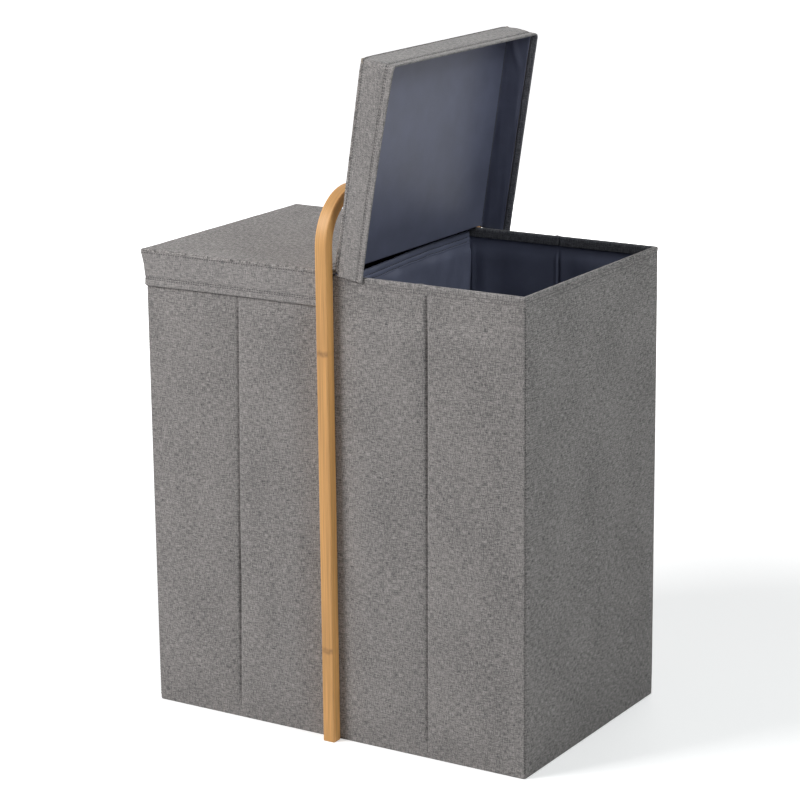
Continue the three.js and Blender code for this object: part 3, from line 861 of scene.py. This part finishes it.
def tray(inner, side_y, steps):
    """A grid over a lid that bends down at its outer end and its two sides, in the given steps to 1.

    Near an outer corner the square of grid places is mapped to a quarter disc, x sqrt(1 - y^2 / 2) and
    y sqrt(1 - x^2 / 2), so that the bend runs round the corner. It gives the places where the bend
    starts, x and y on the disc, and how far round the bend they are.
    """
    reach, a = (joined((inner, steps), *parts)[:, None] for parts in ((inner, inner[-1]), (0, steps)))
    across = joined((steps, side_y, steps), -side_y[-1], side_y, side_y[-1])
    b = joined((steps, side_y, steps), -steps[::-1], 0, steps)
    x, y = a * np.sqrt(1 - b * b / 2), b * np.sqrt(1 - a * a / 2)
    return reach, across, x, y, np.sqrt(x * x + y * y)


def corner_stand(side, sizes, reach, across):
    """How far a lid's outer corners stand out: a bell curve of the distance to the corner."""
    most = sizes.corner_stand * (1.0 if side == "left" else -1.0)
    return most * bell(np.hypot(LID_REACH - reach, LID_HALF_DEPTH - np.abs(across)), 6 * MM)


def lid_top(side, sizes):
    """A lid's top cloth: flat with a soft crown, rolled down at three edges to a pinched seam.

    It gives how far out and down the roll ends.
    """
    half, length = sizes.lid_cloth / 2, 5.0 * MM
    bend_out, bend_down = rolled(length, (0, 20, 40, 60, 78, 90, 104, 128, 160), 200)
    flat_reach, flat_across = (end - half - bend_out.max() for end in (LID_REACH, LID_HALF_DEPTH))
    inner = spaced(0.4 * MM, flat_reach, 6 * MM, 1.2 * MM, (flat_reach, 0.4 * MM), 8 * MM)
    side_y = spaced(-flat_across, flat_across, 6 * MM, 1.2 * MM, (-flat_across, flat_across), 8 * MM)
    reach, across, x, y, far = tray(inner, side_y, np.linspace(0, 1, 13)[1:])
    out, down = (np.interp(far, np.linspace(0, 1, 200), part) for part in (bend_out, bend_down))
    lead = np.maximum(far, 1e-9)
    reach, across = reach + out * x / lead, across + out * y / lead
    edge = np.minimum(np.minimum(LID_REACH - reach, LID_HALF_DEPTH - np.abs(across)), 80 * MM)
    calm = smooth(0, 30 * MM, edge) * smooth(-2 * MM, 25 * MM, reach)
    seed = 101 if side == "left" else 111
    slack = 0.1 * MM + 0.55 * MM * waves(reach, across, seed, 95 * MM)
    slack = slack + 0.25 * MM * waves(reach, across, seed + 1, 38 * MM)
    slack = calm * np.maximum(slack, -0.25 * MM)
    ruck = 0.16 * MM * waves(reach, across, seed + 2, 22 * MM) * smooth(0, 3 * MM, edge)
    bulge = np.exp(-reach / (30 * MM)) * smooth(0, 10 * MM, reach)
    bulge = bulge * bell(across + flat_across - 4 * MM, 7 * MM)
    rise = LID_RISE - half + slack + ruck - down + 2.4 * MM * bulge * (side == "right")
    stand = corner_stand(side, sizes, reach, across)
    middle = place_lid(side, reach + stand, across + stand * np.sign(across), rise)
    cloth(f"{side}_lid_top_cloth", middle, sizes.lid_cloth, ("lid top weave",), f"{side}_lid", "woven_cloth",
          (f"{side}_lid_cover",), flat=(LID_REACH + length, 2 * LID_HALF_DEPTH + 2 * length),
          rests_on=[f"{side}_lid_board"], mirrored=side == "left")
    return bend_out[-1], bend_down[-1]


def lid_taper(side, reach, across):
    """How much shorter a skirt is than at the outer end: a share of 1 - (way along the lid)^2."""
    most = np.where((np.asarray(across) < 0) & (side == "right"), 8.3 * MM, 1.4 * MM)
    return most * (1 - np.clip(reach / LID_REACH, 0, 1) ** 2)


def skirt_section(sizes, out_start, down_start):
    """A skirt's section from the seam: out and down, straight to the hem, and folded up inside it.

    It gives the ways out and down, how far the cloth faces out, the two rows of stitches and the
    hem's first quad.
    """
    fold = 1.0 * MM
    out, down = rolled(2.6 * MM, (48, 70, 84, 90, 90, 90), 8)
    out, down = out + out_start, down + down_start
    hem = SKIRT - sizes.lid_cloth / 2 - fold
    rows = (hem - sizes.skirt_row_high, hem - sizes.skirt_row_low)
    straight = spaced(down[-1], hem, 3.5 * MM, 0.8 * MM, rows, 1.6 * MM)[1:]
    turn = np.linspace(0, math.pi, 9)[1:-1]
    back = spaced(hem - sizes.skirt_hem + 1.5 * MM, hem, 2.5 * MM)[::-1]
    stretches = (out, straight, turn, back)
    outs = joined(stretches, out, out[-1], out[-1] - fold + fold * np.cos(turn), out[-1] - 2 * fold)
    downs = joined(stretches, down, straight, hem + fold * np.sin(turn), back)
    return outs, downs, joined(stretches, 1, 1, np.cos(turn), -1), rows, len(out) + len(straight) + 3


def skirts(side, sizes, out_end, down_end):
    """The skirt round a lid: one section swept along a U in plan.

    Each outer corner is a quarter circle whose radius grows from the seam to the hem, with a groove
    down its middle, a bell curve of the way round the corner. Toward the hinge the depth tapers with
    the square of the way along the lid, and soft ripples run through the free part.
    """
    half = sizes.lid_cloth / 2
    outs, downs, facing, rows, hem_from = skirt_section(sizes, out_end, down_end)
    outermost = outs.max()
    start = -4.2 * MM if side == "right" else -2.5 * MM
    end_reach, end_across = LID_REACH - half, LID_HALF_DEPTH - half
    steps = (4.5 * MM, 1.2 * MM)
    way = spaced(start, end_reach, *steps, (start, end_reach), 6 * MM)
    way = (way - start) / (end_reach - start)
    over = spaced(-end_across, end_across, *steps, (-end_across, end_across), 6 * MM) / end_across
    bend = np.radians([5, 12, 20, 28, 34, 38, 41, 43, 45, 47, 49, 52, 56, 62, 70, 78, 85])

    def column(*parts):
        """One number for each place round the lid: side, corner, outer end, corner, side."""
        return joined((way, bend, over, bend, way), *parts)[:, None]

    along, place = column(way, 1, 1, 1, way[::-1]), column(-1, -1, over, 1, 1)
    n_reach = column(0, np.sin(bend), 1, np.cos(bend), 0)
    n_across = column(-1, -np.cos(bend), 0, np.sin(bend), 1)
    far_off = 9  # radians from a corner's middle, for the straight runs
    from_middle = column(far_off, bend - math.pi / 4, far_off, bend - math.pi / 4, far_off)
    whole = end_reach + 2 * end_across
    straight = column(way * end_reach, end_reach, end_reach + (over + 1) * end_across, whole,
                      whole + end_reach - way[::-1] * end_reach)
    seed = 131 if side == "left" else 141

    def surface(outs, downs, facing):
        """Reach, across and rise round the whole lid, for ways out and down in the section."""
        share = smooth(down_end, SKIRT, downs)
        radius = 1.2 * MM + 5.6 * MM * smooth(down_end + 2 * MM, SKIRT - 8 * MM, downs)
        inside = outermost - outs
        slit = np.minimum(sizes.corner_slit, 0.7 * (radius - inside)) * bell(from_middle * radius, 0.5 * MM)
        slit = slit * (1 - smooth(rows[0] - 4 * MM, rows[0] - 1 * MM, downs))
        ripple = 0.25 * MM * waves(straight, downs * 1.5, seed, 34 * MM)
        ripple = ripple * share * smooth(0, 6 * MM, downs - down_end)
        pulled = 0.8 * MM * bell(downs - rows[0], 0.9 * MM) + 0.4 * MM * bell(downs - rows[1], 0.8 * MM)
        spread = radius - inside - slit + facing * ripple - pulled * (facing > 0.5)
        reach = start + along * (end_reach - radius - start) + n_reach * spread
        across = place * (end_across - radius) + n_across * spread
        down = downs * (1 - share * lid_taper(side, reach, across) / SKIRT)
        stand = corner_stand(side, sizes, reach, across) * (1 - smooth(down_end, down_end + 16 * MM, downs))
        return reach + stand, across + stand * np.sign(across), LID_RISE - half - down

    middle = place_lid(side, *surface(outs[None], downs[None], facing[None]))
    cloth(f"{side}_lid_skirt_cloth", middle, sizes.lid_cloth, ("lid weave", "lid reverse"), f"{side}_lid",
          "woven_cloth", (f"{side}_lid_cover",),
          flat=(2 * LID_REACH + 2 * LID_HALF_DEPTH, float(along_path(middle, 1)[-1])),
          rests_on=[f"{side}_lid_{end}_skirt_board" for end in ("front", "back", "side")],
          zones=hem_zones(middle, hem_from), mirrored=side == "right")
    seam = down_end + 0.9 * MM
    seam_out = float(np.interp(seam, downs[:6], outs[:6]))
    for kind, row, out in (
        ("hem_stitches_1", rows[0], outermost),
        ("hem_stitches_2", rows[1], outermost),
        ("seam_stitches", seam, seam_out),
    ):
        line = np.array([[row]])
        local = np.concatenate(surface(0 * line + out + half, line, 1 + 0 * line), axis=1)
        run = np.concatenate([[0], np.cumsum(np.linalg.norm(np.diff(local, axis=0), axis=1))])
        at = np.arange(3 * MM, run[-1] - 3 * MM, sizes.stitch_pitch)
        spot = np.array([np.interp(at, run, part) for part in local.T])
        ahead = np.array([np.interp(at + 1 * MM, run, part) for part in local.T])
        side_way = [np.interp(at, run, part[:, 0]) for part in (n_reach, n_across)]
        here = place_lid(side, *spot)
        up = place_lid(side, spot[0] + side_way[0], spot[1] + side_way[1], spot[2]) - here
        stitches(f"{side}_lid_{kind}", here, place_lid(side, *ahead) - here, up, "grey thread",
                 f"{side}_lid", "woven_cloth", sizes.stitch_length, sizes.thread)


def skirt_end_tapes(side):
    """A tape down the hinge end of each side skirt: over the board's end, then turned in behind it.

    It is an L section, two straight runs, swept down the skirt.
    """
    high, over = LID_RISE - 1.3 * MM, 2.0 * MM
    run = np.concatenate([np.linspace(0, 1.9, 5), np.linspace(2.2, 10.6, 8)]) * MM
    for name, sign in (("front", -1), ("back", 1)):
        foot = float(LID_RISE - SKIRT + lid_taper(side, 0.0, sign) + 1.6 * MM)
        rise = np.linspace(foot, high, 24)[:, None]
        across = sign * (LID_HALF_DEPTH - 0.95 * MM - np.maximum(over - run, 0))
        middle = place_lid(side, -0.12 * MM + np.maximum(run - over, 0), across, rise)
        cloth(f"{side}_lid_{name}_end_tape", middle, 0.3 * MM, ("lid reverse",), f"{side}_lid",
              "woven_cloth", (), flat=(float(run[-1]), high - foot),
              rests_on=[f"{side}_lid_board", f"{side}_lid_{name}_skirt_board"],
              mirrored=(sign > 0) == (side == "right"))


def lid_linings(side, sizes):
    """A lid's lining: a shallow tray, flat under the board and bent down inside the three skirts.

    At an outer corner the bend runs round as on the top cloth. At the hinge the edge is turned over
    the board's end in half a circle, and the middle sags in soft waves. The three bent parts have
    shallow folds, and the back one of the right lid has a slanting pleat near its outer corner.
    """
    bend, half = LINING_BEND, sizes.lid_lining / 2
    under = half + LINING_UNDER
    deep = SKIRT - LID_RISE - sizes.skirt_hem - 0.6 * MM
    turn = np.linspace(0, math.pi / 2, 9)
    drop = spaced(0, deep + under - bend, 4 * MM, 1.2 * MM, (0, deep + under - bend), 3 * MM)[1:]
    bent = [joined((turn, drop), *parts) for parts in (
        (bend * np.sin(turn), bend), (bend * (1 - np.cos(turn)), bend + drop), (turn, math.pi / 2))]
    parts = np.arange(len(bent[0])) / (len(bent[0]) - 1)
    flat_reach, flat_across = (end - LINING_INSET - bend for end in (LID_REACH, LID_HALF_DEPTH))
    curl, uncurled, fold_at = np.linspace(math.pi / 2, 3 * math.pi / 2, 9)[:-1], 3 * math.pi / 2, -0.15 * MM
    inner = spaced(fold_at, flat_reach, 5 * MM, 1.2 * MM, (fold_at, flat_reach), 5 * MM)
    side_y = spaced(-flat_across, flat_across, 5 * MM, 1.5 * MM, (-flat_across, flat_across), 5 * MM)
    reach, across, x, y, far = tray(joined((curl, inner), fold_at, inner), side_y, parts[1:])
    turned = joined((curl, reach[len(curl):]), curl, uncurled)[:, None]
    out, down, tilt = (np.interp(far, parts, part) for part in bent)
    lead = np.maximum(far, 1e-9)
    reach, across = reach + out * x / lead, across + out * y / lead
    edge = np.minimum(LID_REACH - LINING_INSET - reach, LID_HALF_DEPTH - LINING_INSET - np.abs(across))
    seed = 171 if side == "left" else 181
    sag = 0.45 * MM * (0.6 + 0.5 * waves(reach, across, seed, 95 * MM))
    sag = sag + 0.12 * MM * waves(reach * 0.4, across, seed + 1, 26 * MM)
    sag = sag * smooth(6 * MM, 30 * MM, edge) * smooth(14 * MM, 40 * MM, reach)
    free = smooth(bend, bend + 8 * MM, down) * (1 - smooth(deep - 9 * MM, deep - 4 * MM, down))
    fold = waves(reach * 0.35 + across * 0.35, down * 2.0, seed + 2, 30 * MM)
    fold = free * (0.45 * MM + 0.55 * MM * fold)
    left_over = LID_REACH - reach
    pleat = bell(down - 6 * MM - 0.39 * (left_over - 6 * MM), 2.4 * MM) * smooth(1 * MM, 9 * MM, left_over)
    pleat = pleat * (1 - smooth(38 * MM, 58 * MM, left_over))
    pleat = 1.9 * MM * pleat * (y > 0.5) * free * (side == "right")
    inward = (np.maximum(fold, 0.0) + pleat) * np.sin(tilt)
    roll = 1.35 * MM * np.cos(tilt) + 0.5 * MM * np.sin(tilt) + 0.6 * MM * np.sin(2 * tilt)
    offset = roll * (1 + np.sin(turned))
    down = down * (1 - smooth(bend, deep, down) * lid_taper(side, reach, across) / deep)
    toward = 2.4 * MM * np.sin(tilt) * (1 - smooth(0, 30 * MM, reach)) * (x < 0.5)
    reach = reach + roll * np.cos(turned) * (turned < uncurled) - inward * x / lead - toward
    across = across + (offset * np.sin(tilt) - inward * np.sin(tilt)) * y / lead
    middle = place_lid(side, reach, across, under - down - sag * np.cos(tilt) + offset * np.cos(tilt))
    flat = (LID_REACH + deep, 2 * LID_HALF_DEPTH + 2 * deep)
    cloth(f"{side}_lid_lining_sheet", middle, sizes.lid_lining, ("coated lining",), f"{side}_lid",
          "coated_lining", (f"{side}_lid_lining",), flat=flat, rests_on=[f"{side}_lid_board"],
          area=float(flat[0] * flat[1] - 2 * deep * deep), mirrored=side == "left")


def lid_lining_shade_line_stitches(side, sizes):
    """A row of stitches in the bend of a lid's lining, along its two sides and its outer end, almost end to
    end in thread darker than the lining: a seam and a painted shade line along the bend.
    """
    into = LINING_BEND * 0.62
    at_reach, at_across = (end - LINING_INSET - LINING_BEND + into for end in (LID_REACH, LID_HALF_DEPTH))
    way = np.arange(6 * MM, at_reach, sizes.stitch_pitch)
    over = np.arange(-at_across, at_across, sizes.stitch_pitch)
    reach, across, ahead, aside = (joined((way, way, over), *parts) for parts in (
        (way, way, at_reach), (-at_across, at_across, over), (1 * MM, 1 * MM, 0), (0, 0, 1 * MM)))
    rise = sizes.lid_lining / 2 + LINING_UNDER - LINING_BEND + into - 0.25 * MM
    here = place_lid(side, reach, across, rise)
    ways = place_lid(side, reach + ahead, across + aside, rise) - here
    ups = place_lid(side, reach, across, rise - 1 * MM) - here
    stitches(f"{side}_lid_lining_stitches", here, ways, ups, "dark thread", f"{side}_lid", "coated_lining",
             sizes.stitch_pitch * 0.96, 0.45 * MM)


def hinge_cloth(side):
    """The cloth that crosses a lid's hinge line.

    It is laid flat first, then each point is turned with the lid by the smooth share of its way from start to
    end.
    """
    near, far, end = -8 * MM, 7 * MM, 169.5 * MM
    reach = spaced(near, far, 1.2 * MM, 0.25 * MM, (0.0,), 1.2 * MM)[:, None]
    y = spaced(-end, end, 6 * MM, 1.5 * MM, (-end, end), 3 * MM)
    rise = -0.15 * MM + (LID_RISE + 0.43 * MM) * smooth(-0.6 * MM, 0.6 * MM, reach)
    middle = place_lid(side, reach, y, rise, smooth(-0.5 * MM, 0.6 * MM, reach) * OPEN_ANGLE[side])
    piece = sheet_mesh(f"{side}_hinge_cloth", middle, 0.4 * MM, ("heather weave",), mirrored=side == "left")
    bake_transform(piece)


# Bin floors and the strip


def bin_floor(side):
    """A bin's stiff floor: the lined sheet over its board, and the lifting tab folded and sewn on it."""
    sign, half = SIGN[side], 0.25 * MM
    low, high = span("right_floor_sheet")
    steps = (7 * MM, 1.5 * MM)
    x, y = (spaced(a + half, b - half, *steps, (a, b), 5 * MM) for a, b in zip(low[:2], high[:2]))
    x = x[:, None]
    edge = np.minimum(np.minimum(x - low[0], high[0] - x), np.minimum(y - low[1], high[1] - y))
    z = low[2] + half - 0.15 * MM * (1 - smooth(0, 2 * MM, edge))
    z = z + 0.2 * MM * smooth(0, 15 * MM, edge) * (waves(x, y, 191, 50 * MM) + 1)
    cloth(f"{side}_floor_lining_sheet", points_of(sign * x, y, z), 0.45 * MM, ("coated lining",),
          f"{side}_floor", "coated_lining", (f"{side}_floor_sheet",),
          flat=tuple(float(v) for v in (high - low)[:2]), rests_on=[f"{side}_floor_board"],
          held="laid", mirrored=sign < 0)
    low, high = span("right_floor_tab")
    size, half = high - low, 0.5 * MM
    run = np.linspace(0, 1, 40)[:, None]
    place = high[0] - half - (size[0] - 2 * half) * (1 - run)
    lift = low[2] + half + 1.2 * MM * np.sin(math.pi * np.clip((run - 0.42) / 0.58, 0, 1)) ** 2
    middle = points_of(sign * place, np.linspace(low[1], high[1], 12), lift)
    cloth(f"{side}_floor_tab_cloth", middle, 0.8 * MM, ("charcoal weave",), f"{side}_floor", "woven_cloth",
          (f"{side}_floor_tab",), flat=tuple(float(v) for v in size[:2]),
          rests_on=[f"{side}_floor_lining_sheet"], held="laid", mirrored=sign < 0)


def bamboo():
    """The carrying strip: a rounded rectangle carried up the front, over two bends and down the back."""
    width, thick, outer = float(STRIP_HIGH[0] - STRIP_LOW[0]), 15.1 * MM, 70 * MM
    mid = outer - thick / 2
    leg = float(STRIP_HIGH[1]) - thick / 2
    bend_y, bend_z = float(STRIP_HIGH[1]) - outer, float(STRIP_HIGH[2]) - outer
    up = spaced(0.0, bend_z, 12 * MM, 1 * MM, (0.0,), 2 * MM)
    turn = np.linspace(0, math.pi / 2, 25)[1:-1]
    flat = np.linspace(-bend_y, bend_y, 24)
    c, s = np.cos(turn), np.sin(turn)
    y, z, nose_y, nose_z = (joined((up, turn, flat, turn, up), *parts)[:, None] for parts in (
        (-leg, -bend_y - mid * c, flat, bend_y + mid * c[::-1], leg),
        (up, bend_z + mid * s, bend_z + mid, bend_z + mid * s[::-1], up[::-1]),
        (-1, -c, 0, c[::-1], 1),
        (0, s, 1, s[::-1], 0),
    ))
    radius = 1.6 * MM
    angle = (np.linspace(0, math.pi / 2, 5) + np.arange(4)[:, None] * math.pi / 2).ravel()
    side_x, side_y = (np.repeat(part, 5) for part in ((1, -1, -1, 1), (1, 1, -1, -1)))
    x = side_x * (width / 2 - radius) + radius * np.cos(angle)
    out = side_y * (thick / 2 - radius) + radius * np.sin(angle)
    rings = points_of(x, y + out * nose_y, z + out * nose_z)
    strip = bar_mesh("bamboo_carrying_strip", rings, "lacquered bamboo")
    ride(strip, "body", "bamboo", "bamboo_strip")


def dress_hidden_parts():
    """The boards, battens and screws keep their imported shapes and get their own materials."""
    finishes = {
        "grey_board": "grey board", "batten_wood": "sawn batten", "zinc_steel": "zinc",
        "woven_cloth": "heather weave", "coated_lining": "coated lining", "bamboo": "lacquered bamboo",
    }
    for part in frame["record"]["subparts"]:
        materials = frame["nodes"][part["node"]].data.materials
        materials.clear()
        materials.append(finish_of(finishes[part["material_slot"]]))


# Stage


def turned_camera(look):
    """The camera's matrix: turned round the hamper, raised, and rolled about its line of sight."""
    azimuth, elevation, roll = look.azimuth, look.elevation, look.roll
    level = math.cos(elevation)
    back = Vector((math.sin(azimuth) * level, -math.cos(azimuth) * level, math.sin(elevation)))
    right = Vector((math.cos(azimuth), math.sin(azimuth), 0))
    up = back.cross(right)
    x_axis = math.cos(roll) * right + math.sin(roll) * up
    y_axis = -math.sin(roll) * right + math.cos(roll) * up
    columns = [(*axis, 0) for axis in (x_axis, y_axis, back)]
    return Matrix((*columns, (*look.camera_place, 1))).transposed()


def stage(look):
    """A pale floor, the camera of the photo, soft lamps and a white world behind."""
    scene = bpy.context.scene
    scene.view_settings.view_transform = "Standard"
    material, nodes, shader = start_material("studio floor", (0.8, 0.8, 0.8), 0.9)
    away = nodes.node("VectorMath", operation="LENGTH", Vector=nodes.own()).outputs["Value"]
    glow = nodes.times(nodes.in_sight(), nodes.ranged(away, 0.6, 2.6, look.floor_glow, 1.0))
    nodes.put(shader, Emission_Color=(1, 1, 1, 1), Emission_Strength=glow)
    level = -0.05 * MM
    corners = np.array([(-30, -30, level), (30, -30, level), (30, 60, level), (-30, 60, level)])
    put_mesh("studio_floor", corners, np.array([[0, 1, 2, 3]]), None, (material,))
    scene.world = bpy.data.worlds.new("studio")
    scene.world.use_nodes = True
    nodes = Nodes(scene.world.node_tree)
    room = (look.room, look.room, look.room * 1.02, 1)
    seen = nodes.mixed(nodes.in_sight(), room, (1, 1, 1, 1))
    nodes.put(nodes.tree.nodes["Background"], Color=seen, Strength=1.0)
    middle = Vector((0, 0, 0.4))
    for name, power, size, place, target in (
        ("key", look.key, 1.8, (-2.35, -2.95, 3.1), middle),
        ("top", look.top, 2.6, (0.2, 0.3, 4.2), Vector((0, 0, 0.5))),
        ("side", look.side, 1.0, (2.3, -0.5, 1.9), middle),
        ("near right", look.near_right, 1.0, (1.6, -0.22, 2.2), middle),
        ("behind", look.behind, 2.0, (-0.8, 3.2, 0.95), middle),
    ):
        lamp = bpy.data.lights.new(name, "AREA")
        lamp.energy, lamp.size = power, size
        if name in ("side", "near right"):
            lamp.color = look.cool
        bulb = bpy.data.objects.new(name, lamp)
        bulb.location = place
        bulb.rotation_euler = (target - Vector(place)).to_track_quat("-Z", "Y").to_euler()
        scene.collection.objects.link(bulb)
    data = bpy.data.cameras.new("photo camera")
    data.lens, data.sensor_width, data.clip_end = look.lens, 36.0, 200.0
    scene.camera = bpy.data.objects.new("photo camera", data)
    scene.camera.matrix_world = turned_camera(look)
    scene.collection.objects.link(scene.camera)


# Sizes, colours and looks that a user may change


def length(name, default, description):
    return bpy.props.FloatProperty(
        name=name, description=description, default=default * MM, min=0.0, precision=5, unit="LENGTH")


def colour(name, default, description):
    return bpy.props.FloatVectorProperty(
        name=name, description=description, default=default, min=0.0, max=1.0, size=3, subtype="COLOR")


def number(name, default, description):
    return bpy.props.FloatProperty(name=name, description=description, default=default, min=0.0)


def angle(name, default, description):
    return bpy.props.FloatProperty(name=name, description=description, default=default, unit="ROTATION")


class HamperSizes(bpy.types.PropertyGroup):
    cloth: length("Wall cloth", 1.0, "Thickness of the woven cloth on the walls")
    lining: length("Bin lining", 0.6, "Thickness of the coated lining in the bins")
    lid_cloth: length("Lid cloth", 0.8, "Thickness of the woven cloth on the lids")
    lid_lining: length("Lid lining", 0.5, "Thickness of the coated lining in the lids")
    crown: length("Wall crown", 3.9, "How far a wall's cloth stands out between its seams")
    seam_groove: length("Fold seam groove", 1.2, "Depth of a fold seam's groove where the boards meet")
    rim_fold: length("Rim fold", 2.55, "Radius of the cloth's middle where it folds over the rim")
    rim_hem: length("Rim hem", 12.5, "How far the wall's cloth reaches down inside the rim")
    divider_hem: length("Divider hem", 15.5, "Height of the hem along the divider's top")
    row_high: length("Upper rim stitches", 7, "Drop of the upper row of rim stitches below the rim")
    row_low: length("Lower rim stitches", 11.2, "Drop of the lower row of rim stitches below the rim")
    skirt_hem: length("Skirt hem", 9, "Height of the folded hem of a lid's skirt")
    skirt_row_high: length("Upper hem stitches", 9.6, "Height of the upper row over the hem's fold")
    skirt_row_low: length("Lower hem stitches", 7.2, "Height of the lower row over the hem's fold")
    corner_slit: length("Corner groove", 1.5, "Depth of the groove down an outer corner of a lid")
    corner_stand: length("Corner stand", 1.4, "How far a lid's outer corners stand out at the top")
    stitch_pitch: length("Stitch pitch", 3.7, "Distance from one stitch to the next")
    thread: length("Thread", 0.5, "Half the thickness of a stitch")
    stitch_length: length("Stitch length", 2.6, "Length of one stitch")


class HamperColours(bpy.types.PropertyGroup):
    woven: colour("Woven cloth", (0.224, 0.214, 0.212), "Heather-grey linen-look cloth")
    reverse: colour("Cloth reverse", (0.075, 0.075, 0.082), "Charcoal reverse side of the woven cloth")
    lining: colour("Lining", (0.128, 0.137, 0.196), "Coated lining")
    bamboo: colour("Bamboo", (0.62, 0.325, 0.11), "Lacquered bamboo between its joints")
    knuckle: colour("Bamboo joint", (0.16, 0.07, 0.025), "Band across a grown joint of the bamboo")
    board: colour("Board", (0.34, 0.30, 0.25), "Stiff grey board")
    batten: colour("Batten", (0.57, 0.38, 0.20), "Sawn batten")
    zinc: colour("Zinc", (0.60, 0.61, 0.62), "Zinc plating on the screws")


class HamperLook(bpy.types.PropertyGroup):
    key: number("Key lamp", 187.0, "Power of the lamp in front on the left, in watts")
    top: number("Top lamp", 13.0, "Power of the lamp overhead, in watts")
    side: number("Side lamp", 12.0, "Power of the lamp farther out on the right, in watts")
    near_right: number("Near lamp", 15.5, "Power of the lamp nearer and higher on the right, in watts")
    behind: number("Back lamp", 37.0, "Power of the lamp behind the hamper, in watts")
    cool: colour("Cool light", (0.93, 0.99, 1.0), "Colour of the two lamps on the right")
    room: number("Room light", 0.02, "Strength of the light from all round")
    floor_glow: number("Floor glow", 0.45, "Light that the floor shows to the camera beside the hamper")
    lens: number("Lens", 123.796, "Focal length of the camera, in millimetres on a 36 mm sensor")
    azimuth: angle("Azimuth", 0.557097, "Turn of the camera round the hamper")
    elevation: angle("Elevation", 0.256088, "How far the camera looks down")
    roll: angle("Roll", -0.0104406, "Turn of the camera about its own line of sight")
    camera_place: bpy.props.FloatVectorProperty(
        name="Camera", description="Place of the camera", default=(1.79433, -2.88883, 1.29257), size=3,
        subtype="TRANSLATION", unit="LENGTH")


class HAMPER_OT_walls(bpy.types.Operator):
    """Makes the woven cloth of the four walls and of the underside"""
    bl_idname = "hamper.walls"
    bl_label = "Wall cloths"

    def execute(self, context):
        sizes = context.scene.hamper_sizes
        for side in WALLS:
            wall_cloth(side, sizes)
        floor_cloth(sizes)
        rim_stitches(sizes)
        corner_seam_shade_stitches(sizes)
        return {"FINISHED"}


class HAMPER_OT_linings(bpy.types.Operator):
    """Makes the coated linings of both bins and the hem over the divider"""
    bl_idname = "hamper.linings"
    bl_label = "Bin linings"

    def execute(self, context):
        for side in SIGN:
            bin_lining(side, context.scene.hamper_sizes)
        divider_hem(context.scene.hamper_sizes)
        return {"FINISHED"}


class HAMPER_OT_lids(bpy.types.Operator):
    """Makes both lids: top cloth, skirts, linings and hem stitches"""
    bl_idname = "hamper.lids"
    bl_label = "Lids"

    def execute(self, context):
        sizes = context.scene.hamper_sizes
        for side in SIGN:
            skirts(side, sizes, *lid_top(side, sizes))
            skirt_end_tapes(side)
            lid_linings(side, sizes)
            lid_lining_shade_line_stitches(side, sizes)
        return {"FINISHED"}


class HAMPER_OT_hinges(bpy.types.Operator):
    """Makes the cloth strip over the divider and the cloth that crosses each lid's hinge line"""
    bl_idname = "hamper.hinges"
    bl_label = "Hinge cloths"

    def execute(self, context):
        hinge_strip_cloth()
        for side in SIGN:
            hinge_cloth(side)
        return {"FINISHED"}


class HAMPER_OT_floors(bpy.types.Operator):
    """Makes the lined sheet and the lifting tab of each stiff floor"""
    bl_idname = "hamper.floors"
    bl_label = "Bin floors"

    def execute(self, context):
        for side in SIGN:
            bin_floor(side)
        return {"FINISHED"}


class HAMPER_OT_strip(bpy.types.Operator):
    """Makes the bamboo carrying strip"""
    bl_idname = "hamper.strip"
    bl_label = "Bamboo strip"

    def execute(self, context):
        bamboo()
        return {"FINISHED"}


class HAMPER_OT_inner_parts(bpy.types.Operator):
    """Gives the boards, battens and screws their materials"""
    bl_idname = "hamper.inner_parts"
    bl_label = "Inner parts"

    def execute(self, context):
        dress_hidden_parts()
        return {"FINISHED"}


class HAMPER_OT_stage(bpy.types.Operator):
    """Makes the floor, the lamps, the world and the camera"""
    bl_idname = "hamper.stage"
    bl_label = "Stage"

    def execute(self, context):
        stage(context.scene.hamper_look)
        return {"FINISHED"}


STEPS = (
    HAMPER_OT_stage, HAMPER_OT_inner_parts, HAMPER_OT_walls, HAMPER_OT_linings, HAMPER_OT_lids,
    HAMPER_OT_hinges, HAMPER_OT_floors, HAMPER_OT_strip,
)
GROUPS = {"hamper_sizes": HamperSizes, "hamper_colours": HamperColours, "hamper_look": HamperLook}


class HAMPER_PT_panel(bpy.types.Panel):
    """Lists the steps, sizes, colours and looks of the hamper"""
    bl_idname = "HAMPER_PT_panel"
    bl_label = "Laundry hamper"
    bl_space_type = "VIEW_3D"
    bl_region_type = "UI"
    bl_category = "Hamper"

    def draw(self, context):
        for step in STEPS:
            self.layout.operator(step.bl_idname)
        for name in GROUPS:
            group, box = getattr(context.scene, name), self.layout.box()
            for key in group.bl_rna.properties.keys():
                if key not in ("rna_type", "name"):
                    box.prop(group, key)


def register():
    for group in (*GROUPS.values(), *STEPS, HAMPER_PT_panel):
        bpy.utils.register_class(group)
    for name, group in GROUPS.items():
        setattr(bpy.types.Scene, name, bpy.props.PointerProperty(type=group))


def unregister():
    for name in GROUPS:
        delattr(bpy.types.Scene, name)
    for group in (HAMPER_PT_panel, *STEPS[::-1], *GROUPS.values()):
        bpy.utils.unregister_class(group)


def main():
    register()
    for step in STEPS:
        area, name = step.bl_idname.split(".")
        getattr(getattr(bpy.ops, area), name)()


if __name__ == "__main__":
    main()
